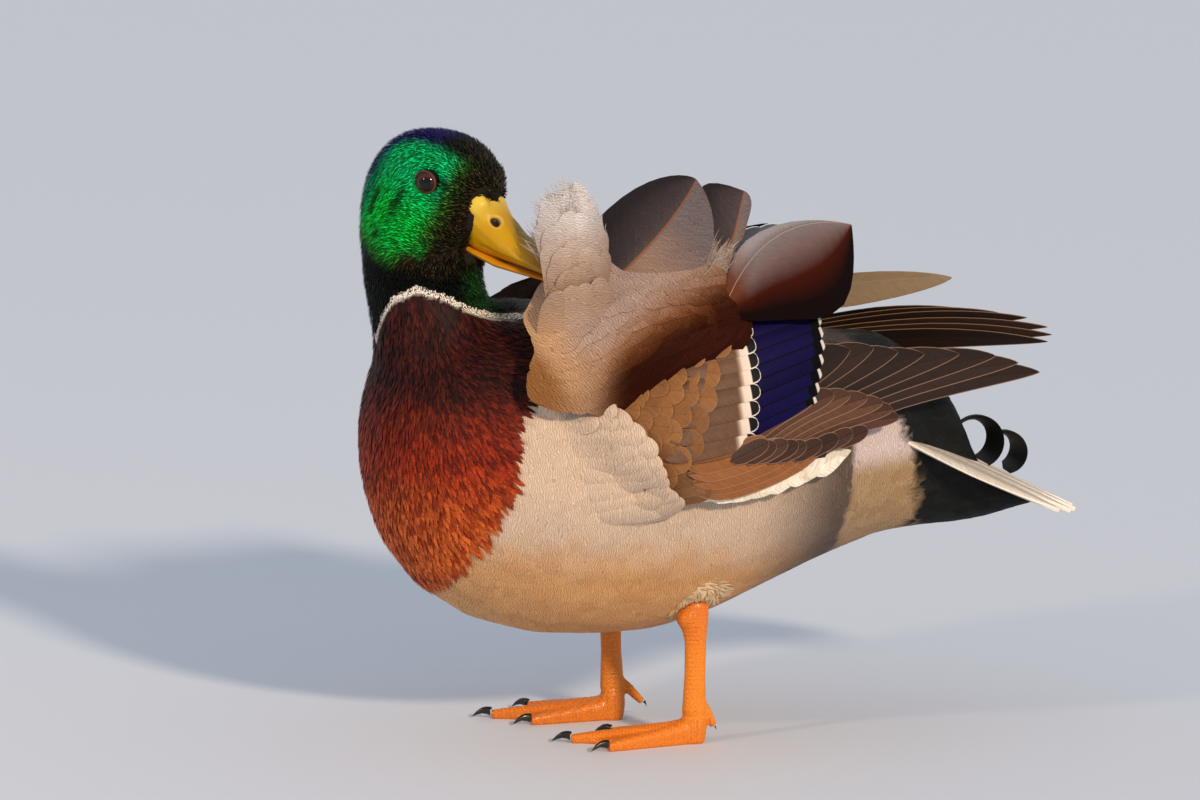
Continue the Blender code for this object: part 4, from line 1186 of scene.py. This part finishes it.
def raised_feathers(nodes):
    """The left shoulder's raised tuft and the two plumes behind it."""
    # Raised plumes are soft and matt, with faint wavy lines.
    soft = plumage("raised_plumes_soft", 0.7, barbs=0.08, lines=("#a59486", 1.1, 0.45, (0.15, 1.0)),
                   relief=0.09)
    # These plumes have a little gloss and a rust shaft; the dark of their front vane is painted shade.
    dark = plumage("raised_plumes_painted_shade", 0.55, barbs=0.12, lines=("#a08a7c", 1.1, 0.4, (0.6, 0.8)),
                   shaft=("#8c4a1e", 0.4, 0.9), relief=0.08)
    tuft = ["scapular_tuft_left"]
    for index, (foot, top, layer, rise) in enumerate(TUFT_ROWS):
        tips = [(-98, top - 14), (-94, top - 3), (-88, top + 1), (-80, top - 4), (-73, top - 20)]
        tract(f"tuft_{index}_left", LEFT, tuft, [(-97, foot), (-80, foot)], tips, [(7, 7)], 8, soft,
              tuft_paint, 80 + index, BLUNT, layers=(layer,), rise=rise, jitter=1.0, camber=0.06,
              thickness=0.1, together=True, replaced=tuft if index == 0 else ())
    tract("tuft_wisps_left", LEFT, tuft, [(-101, 232), (-97, 248), (-90, 257), (-80, 251), (-73, 234)],
          [(-107, 239), (-102, 258), (-91, 268), (-77, 260), (-69, 242)], [(0.22, 0.22)], 320, soft,
          tuft_paint, 86, SILKY, FINE_VANE, layers=(0.2, 1.2, 0.4), jitter=1.8, together=True)
    for name, root, tip, widths, seed, shape, under in (
            ("plume", (-76, 213), (-19.5, 262), (21, 25), 87,
             dict(shoulder=0.4, square=2.2, fall=0.7, root=0.3),
             dict(shoulder=0.6, square=2.2, fall=0.6, root=0.4)),
            ("plume_rear", (-14, 214), (4, 255.5), (20, 5), 88,
             dict(shoulder=0.8, square=3.0, fall=0.5, root=0.4), None)):
        node = [f"scapular_{name}_left"]
        tract(f"{name}_left", LEFT, node, [root], [tip], [widths], 1, dark, plume_paint, seed, shape,
              under=under, layers=(0.3,), replaced=node)
    tract("plume_fringe_left", LEFT, nodes, [(-30, 222), (-12, 222)], [(-20, 236), (-2, 233)],
          [(0.35, 0.35)], 120, soft, two_tone("#806c62", "#a09088"), 89, SILKY, FINE_VANE, layers=(1.8,),
          jitter=2.2)
    tract("tuft_base_left", LEFT, tuft + nodes, [(-101, 184), (-77, 182)], [(-101, 222), (-77, 225)],
          [(8, 8)], 8, soft, tuft_foot_paint, 90, ROUNDED, layers=(-8.5,), rise=9.5, jitter=1.0, camber=0.1,
          thickness=0.08, together=True)


def flank_laps(hand):
    """Long flank feathers that lap over the front of the folded wing."""
    side = SIDES[hand]
    nodes = ["trunk", f"wing_coverts_{side}", f"wing_alula_{side}"]
    # Flank laps are matt and wavy, as the flank is.
    lap = plumage("flank_lap_vermiculated", 0.65, specular=0.2, **FLANK_LINES)
    for index, (forward, rise) in enumerate(LAP_ROWS):
        tract(f"flank_lap_{index}_{side}", hand, nodes, LAP_ROOTS - (forward, 0), LAP_TIPS - (forward, 0),
              [(7, 7)], 10, lap, two_tone(*FLANK_GREY), 60 + index, ROUNDED, layers=(-4.6,), rise=rise,
              jitter=0.5, camber=0.26, thickness=0.06)


# ---------------------------------------------------------------- tail


def tail():
    """Pointed feathers fanned from one root and roofed down at the sides, each a closed vane."""
    # Tail feathers are cream keratin: a satin vane, a paler edge and a straw shaft.
    straw = plumage("tail_vanes_cream_keratin", 0.5, barbs=0.22, barb_mm=0.6,
                    edge=("#f4eee2", 0.8, 0.7), shaft=("#8e7654", 0.35, 0.6), relief=0.08)
    vane, count = FLIGHT_VANE, TAIL_FEATHERS
    v = vane.stations
    spines, reaches, normals = np.empty((3, count, len(v), 3))
    half = TAIL_REACH * outline(v, shoulder=0.35, square=1.8, fall=0.9, root=0.45)[:, None]
    for i, share in enumerate(np.linspace(-1, 1, count)):
        turned = (Matrix.Rotation(TAIL_SPREAD * share, 3, "Z") @ Matrix.Rotation(TAIL_SLOPE, 3, "Y")
                  @ Matrix.Rotation(-TAIL_ROLL * share, 3, "X"))
        along, across, up = np.array(turned).T
        root = TAIL_ROOT + np.array((0.0, 29.0 * share, -3.0 * share * share))
        length = TAIL_LENGTH * (1 - 0.16 * share * share)
        spines[i] = root + v[:, None] * length * along + up * (1.5 - 1.5 * abs(share))
        reaches[i] = half * across
        normals[i] = up
    points, faces, maps, rim = vanes(vane, spines, -reaches, reaches, normals, 1.0, 0.06,
                                     np.full(count, TAIL_LENGTH))
    random = np.repeat(np.random.default_rng(90).random(count), len(vane.row))
    colour = tail_paint(points, np.tile(vane.across, count), np.tile(vane.along, count), random)
    mesh_piece("tail_feathers", points, faces, straw, ["tail"],
               {"Vane": maps, "OFBake": bake_map(vane, count, count, 1)}, (colour, random), rim, crisp=50)


def curls():
    """Two tail coverts that curl up and forward like rings."""
    # Curls are glossy black keratin with a green glint at the edge.
    black = plumage("curl_vanes_black_gloss", 0.4, specular=0.5, barbs=0.3, barb_mm=0.6,
                    edge=("#10261c", 0.5, 0.6), relief=0.08)
    v = CURL_VANE.stations
    aside = np.array((0.0, 1.0, 0.0))
    half = 5.6 * np.sin(math.pi * (0.30 + 0.68 * v)) ** 1.5 + 0.3
    for name, (centre, radius, start, end) in TAIL_CURLS.items():
        turn = np.radians(start + (end - start) * v)
        radial = np.column_stack([np.cos(turn), np.zeros_like(v), np.sin(turn)])
        reach = (unit(aside * 0.86 - radial * 0.5) * half[:, None])[None]
        normal = unit(radial * 0.86 + aside * 0.5)[None]
        spine = (np.array(centre) + radial * radius)[None]
        points, faces, maps, rim = vanes(CURL_VANE, spine, -reach, reach, normal, 0.8, 0.08,
                                         radius * math.radians(end - start))
        colour = np.tile(linear("#060707"), (len(points), 1))
        mesh_piece(name + "_vane", points, faces, black, [name],
                   {"Vane": maps, "OFBake": bake_map(CURL_VANE, 1, 1, 1)}, (colour, 0.4), rim, crisp=60)


# ---------------------------------------------------------------- bill, eyes and legs


def from_nostril(x, z, long, tall):
    """1 on an oval round the nostril's middle."""
    return np.hypot((x - NOSTRIL[0]) / long, (z - NOSTRIL[1] + 0.3 * (x - NOSTRIL[0])) / tall)


def bill_colour(local):
    """Yellow, paler by the face, dusky olive along the culmen, and darker towards the nail, partly as
    painted shade.
    """
    x, beside, z = local[:, 0], np.abs(local[:, 1]), local[:, 2]
    middle = np.interp(x, (14, 26, 42, 62, 78), (0, -3, -10.5, -14.2, -17))
    crest = ramp(z - middle, -2.6, 0.0) * ramp(beside, 7.0, 2.0) * ramp(x, 28.0, 44.0)
    far = from_nostril(x, z, 2.5, 1.5)
    colour = linear("#ba8c04")
    for tone, share in (("#e0c650", ramp(x, 34.0, 22.0) * ramp(z, -14.0, -6.0) * 0.7),
                        ("#8a6a14", crest * 0.6),
                        # Darker towards the nail: partly the bill's own olive, partly painted shade where
                        # the tip lies among the shoulder feathers.
                        ("#94640a", ramp(x, 46.0, 64.0) * 0.8),
                        ("#2c2410", ramp(x, 70.5, 72.5) * ramp(beside, 5.0, 3.5) * 0.85),
                        ("#c46a10", ramp(z + 20.0, 2.5, -1.0) * 0.5),
                        ("#e0c878", ramp(far, 1.6, 1.2) * ramp(far, 0.8, 1.1) * 0.3),
                        # The nostril's opening is painted dark as shade.
                        ("#1c0c04", ramp(far, 1.1, 0.75))):
        colour = mixed(colour, tone, share)
    return colour


def shape_upper_bill(points, normals):
    """Sinks the nostrils, the nail's groove and the line of the mouth, and raises the bill's corners."""
    x, side, z = in_head(points).T
    beside = np.abs(side)
    far = from_nostril(x, z, 2.7, 1.6)
    margin = np.interp(x, (14, 26, 42, 62, 78), (-20.5, -21.3, -22.3, -19.6, -19.0))
    nostril = ramp(beside, 2.5, 4.0) * (0.18 * ramp(far, 2.1, 1.3) * ramp(far, 0.9, 1.2)
                                        - 1.5 * ramp(far, 1.15, 0.5))
    groove = 0.35 * bell(x, 71.5, 0.6) * ramp(beside, 7.0, 5.0)
    crease = 0.3 * bell(z, margin + 1.9, 0.5) * ramp(x, 26.0, 34.0)
    corner = (np.where(side < 0, 3.4, 1.4) * ramp(x, 31.0, 24.0) * ramp(z, -11.0, -4.0)
              * ramp(beside, 4.0, 8.0))
    gape = 3.0 * ramp(x, 44.0, 24.0) * ramp(z - margin, 5.0, 0.0)
    return points + normals * (nostril - groove - crease + corner)[:, None] - HEAD_AXES[2] * gape[:, None]


def bill():
    # Bill horn is smooth and waxy, with a soft highlight and a fine grain.
    horn, tree, inputs = shader("bill_horn_yellow", 0.36, specular=0.22)
    tree.links.new(attribute(tree, "Plumage")["Color"], inputs["Base Color"])
    bumped(tree, inputs, rough_noise(tree, object_place(tree), 900.0, 3.0), 0.25, 0.1)
    for name in FACE:
        mesh = even_copy([name], name, 0.5, 5)
        points = drawn(points_of(mesh))
        colour = bill_colour(in_head(points))
        if name == "bill_upper":
            set_points(mesh, placed(shape_upper_bill(points, normals_of(mesh))))
        tint(mesh, colour)
        finished(mesh, name + "_horn", horn, [name])


def eyes():
    """Brown irises with round pupils, and a thin dark lid about each."""
    # A wet cornea has the sharpest highlight on the bird.
    gloss, tree, inputs = shader("eye_cornea_wet", 0.1, specular=0.35)
    stops = ((0.0, "#020202", 1.0), (0.33, "#020202", 1.0), (0.36, "#1c0a05", 1.0), (0.46, "#4a2010", 1.0),
             (0.58, "#3c160a", 1.0), (0.66, "#120604", 1.0), (1.0, "#060303", 1.0))
    turn = maths(tree, "DIVIDE", attribute(tree, "Rim")["Fac"], 90.0)
    tree.links.new(colour_stops(tree, turn, stops)[0], inputs["Base Color"])
    # Lid skin is dark with a soft shine.
    lid = shader("eyelid_dark_skin", 0.5, specular=0.4, colour="#4a2418")[0]
    ahead, out = math.sin(GAZE), math.cos(GAZE)
    for hand, side in ((1, "left"), (-1, "right")):
        bm = bmesh.new()
        bmesh.ops.create_uvsphere(bm, u_segments=40, v_segments=36, radius=EYE_RADIUS)
        mesh = mesh_from(bm, "eye")
        x, y, z = points_of(mesh).T
        local = np.column_stack([x * out + z * ahead, hand * (z * out - x * ahead + EYE_OUT),
                                 hand * y + EYE_DROP])
        set_points(mesh, placed(from_head(local)))
        if hand > 0:
            mesh.flip_normals()
        mark_rim(mesh, np.degrees(np.arccos(np.clip(z / EYE_RADIUS, -1, 1))))
        mesh.shade_smooth()
        finished(mesh, f"eyeball_{side}", gloss, [f"eye_{side}"])
        eyelid(f"eyelid_{side}", hand, lid)


def eyelid(name, hand, material, around=48, about=10):
    """A soft ring round an eye, a little pointed fore and aft."""
    i, j = np.indices((around, about)).reshape(2, -1)
    u, w = 2 * math.pi * i / around, 2 * math.pi * j / about
    reach = LID_RADIUS * (1 + 0.05 * np.cos(2 * u)) + LID_THICK * np.cos(w)
    local = np.column_stack([reach * np.cos(u), hand * LID_THICK * 1.3 * np.sin(w),
                             reach * np.sin(u) * 0.98])
    points = from_head(local + np.array((0.0, hand * (EYE_OUT + 2.4), EYE_DROP)))
    after, beyond = (i + 1) % around, (j + 1) % about
    faces = np.column_stack([i * about + j, after * about + j, after * about + beyond, i * about + beyond])
    one, two, three, _ = points[faces].transpose(1, 0, 2)
    if (np.cross(two - one, three - one) * (points[faces].mean(1) - points.mean(0))).sum() < 0:
        faces = faces[:, ::-1]
    mesh_piece(name, points, faces, material)


def leg_skin():
    """Scaled skin: small scales all over, darker between them."""
    # Scaled skin is satin, and its thin coat gives the scales small highlights.
    scaly, tree, inputs = shader("leg_skin_scaly_orange", 0.42, specular=0.45, coat=0.1)
    own = attribute(tree, "Plumage")["Color"]
    cells = add(tree, "ShaderNodeTexVoronoi", {"feature": "DISTANCE_TO_EDGE"}, Vector=object_place(tree),
                Scale=780.0)
    edge = spread(tree, cells.outputs["Distance"], 0.0, 0.16)
    dim = blended(tree, rgba("#a03c00"), (1, 1, 1, 1), edge)
    tree.links.new(blended(tree, own, dim, 0.25, "MULTIPLY"), inputs["Base Color"])
    bumped(tree, inputs, edge, 0.8, 0.16)
    return scaly


def legs():
    """Crosswise scutes run down the front and on the toes, over the small scales of the skin."""
    scaly = leg_skin()
    for hand, (_, ankle, heading, _) in LEGS.items():
        nodes = [f"{part}_{SIDES[hand]}" for part in ("tarsus", "foot", "hind_toe")]
        mesh = even_copy(nodes, f"leg_{SIDES[hand]}", 0.7, 4, 0.15)
        points, normals = drawn(points_of(mesh)), normals_of(mesh)
        height, level = points[:, 2], normals[:, 2]
        out = (points - np.array(ankle)) @ np.array((-math.cos(heading), -hand * math.sin(heading), 0.0))
        on_shank = ramp(height, 11.0, 16.0) > 0.5
        front, top = ramp(-normals[:, 0], -0.35, 0.05), ramp(level, 0.2, 0.6)
        wave = np.where(on_shank, height / 2.1, out / 1.5) * 2 * math.pi
        groove = np.clip(np.cos(wave), 0.4, 1) - 0.4
        amount = groove * np.where(on_shank, 0.5 * front, 0.42 * top)
        amount -= 2.6 * bell(height, 60.5, 4.0) * ramp(-normals[:, 0], 0.0, 0.9)
        set_points(mesh, placed(points - normals * amount[:, None]))
        web = ramp(level, 0.7, 0.95) * ramp(height, 7.0, 4.0) * ramp(out, 8.0, 20.0)
        colour = linear("#f08a0c")
        for tone, share in (("#dc6a0c", ramp(height, 40.0, 66.0) * 0.6),
                            ("#dc6a10", web * 0.6),
                            ("#b04400", np.clip(groove * 1.6, 0, 1) * np.maximum(front, top) * 0.8),
                            ("#dc7404", ramp(height, 16.0, 7.0) * 0.6)):
            colour = mixed(colour, tone, share)
        # The right leg, the far one, is painted a tenth darker as shade.
        tint(mesh, colour * (0.9 if hand == RIGHT else 1.0))
        finished(mesh, f"leg_scaled_{SIDES[hand]}", scaly, nodes)


def claws():
    # Claw horn is black and polished, with a clear highlight.
    horn = shader("claw_horn_black", 0.3, specular=0.5, coat=0.2, colour="#0c0a09")[0]
    for side in SIDES.values():
        for toe in ("inner", "middle", "outer", "hind"):
            name = f"claw_{toe}_{side}"
            finished(even_copy([name], name, 0.35, 3), f"claw_horn_{toe}_{side}", horn, [name])


# ---------------------------------------------------------------- studio


def lamp(name, kind, energy, turn, height, away, **settings):
    """A warm light aimed at the bird, from a turn about it and a height above the level."""
    light = bpy.data.lights.new(name, kind)
    light.energy = energy
    light.color = linear(SUN_COLOUR)
    for key, value in settings.items():
        setattr(light, key, value)
    held = linked(name, light)
    aim = Vector((math.sin(turn), -math.cos(turn), math.tan(height))).normalized()
    held.location = LAMP_AIM + aim * away
    held.rotation_euler = aim.to_track_quat("Z", "Y").to_euler()


def studio():
    camera = bpy.data.cameras.new("camera")
    camera.sensor_width = CAMERA_SENSOR
    camera.lens = CAMERA_SENSOR * CAMERA_AWAY / CAMERA_SEES
    camera.clip_end = 60.0
    held = linked("camera", camera)
    level = math.cos(CAMERA_RISE)
    view = Vector((math.sin(CAMERA_TURN) * level, math.cos(CAMERA_TURN) * level, -math.sin(CAMERA_RISE)))
    held.location = CAMERA_TARGET - view * CAMERA_AWAY
    held.rotation_euler = view.to_track_quat("-Z", "Y").to_euler()
    bpy.context.scene.camera = held
    lamp("sun", "SUN", SUN_STRENGTH, SUN_TURN, SUN_HEIGHT, 3.0, angle=math.radians(5))
    lamp("catch", "AREA", CATCH_WATTS, CATCH_TURN, CATCH_HEIGHT, 2.0, size=0.16)
    world = bpy.data.worlds.new("studio")
    world.use_nodes = True
    backdrop = world.node_tree.nodes["Background"]
    backdrop.inputs[0].default_value = rgba(SKY_COLOUR)
    backdrop.inputs[1].default_value = SKY_STRENGTH
    bpy.context.scene.world = world
    bpy.context.scene.view_settings.view_transform = "Standard"
    bm = bmesh.new()
    bmesh.ops.create_grid(bm, x_segments=2, y_segments=2, size=FLOOR_SIZE)
    mesh = mesh_from(bm, "floor")
    # Matt paint takes soft shadows and shows no mirror image.
    mesh.materials.append(shader("floor_matt_paint", 0.6, specular=0.3, colour="#d5dbe6")[0])
    linked("floor", mesh)


def main():
    studio()
    mesh = skin_mesh()
    surface = Surface(mesh)
    skin_piece(mesh)
    coats(surface)
    for hand in (LEFT, RIGHT):
        wing(hand)
        tertials(hand)
        shoulders(hand)
        flank_laps(hand)
    tail()
    curls()
    bill()
    eyes()
    legs()
    claws()


main()
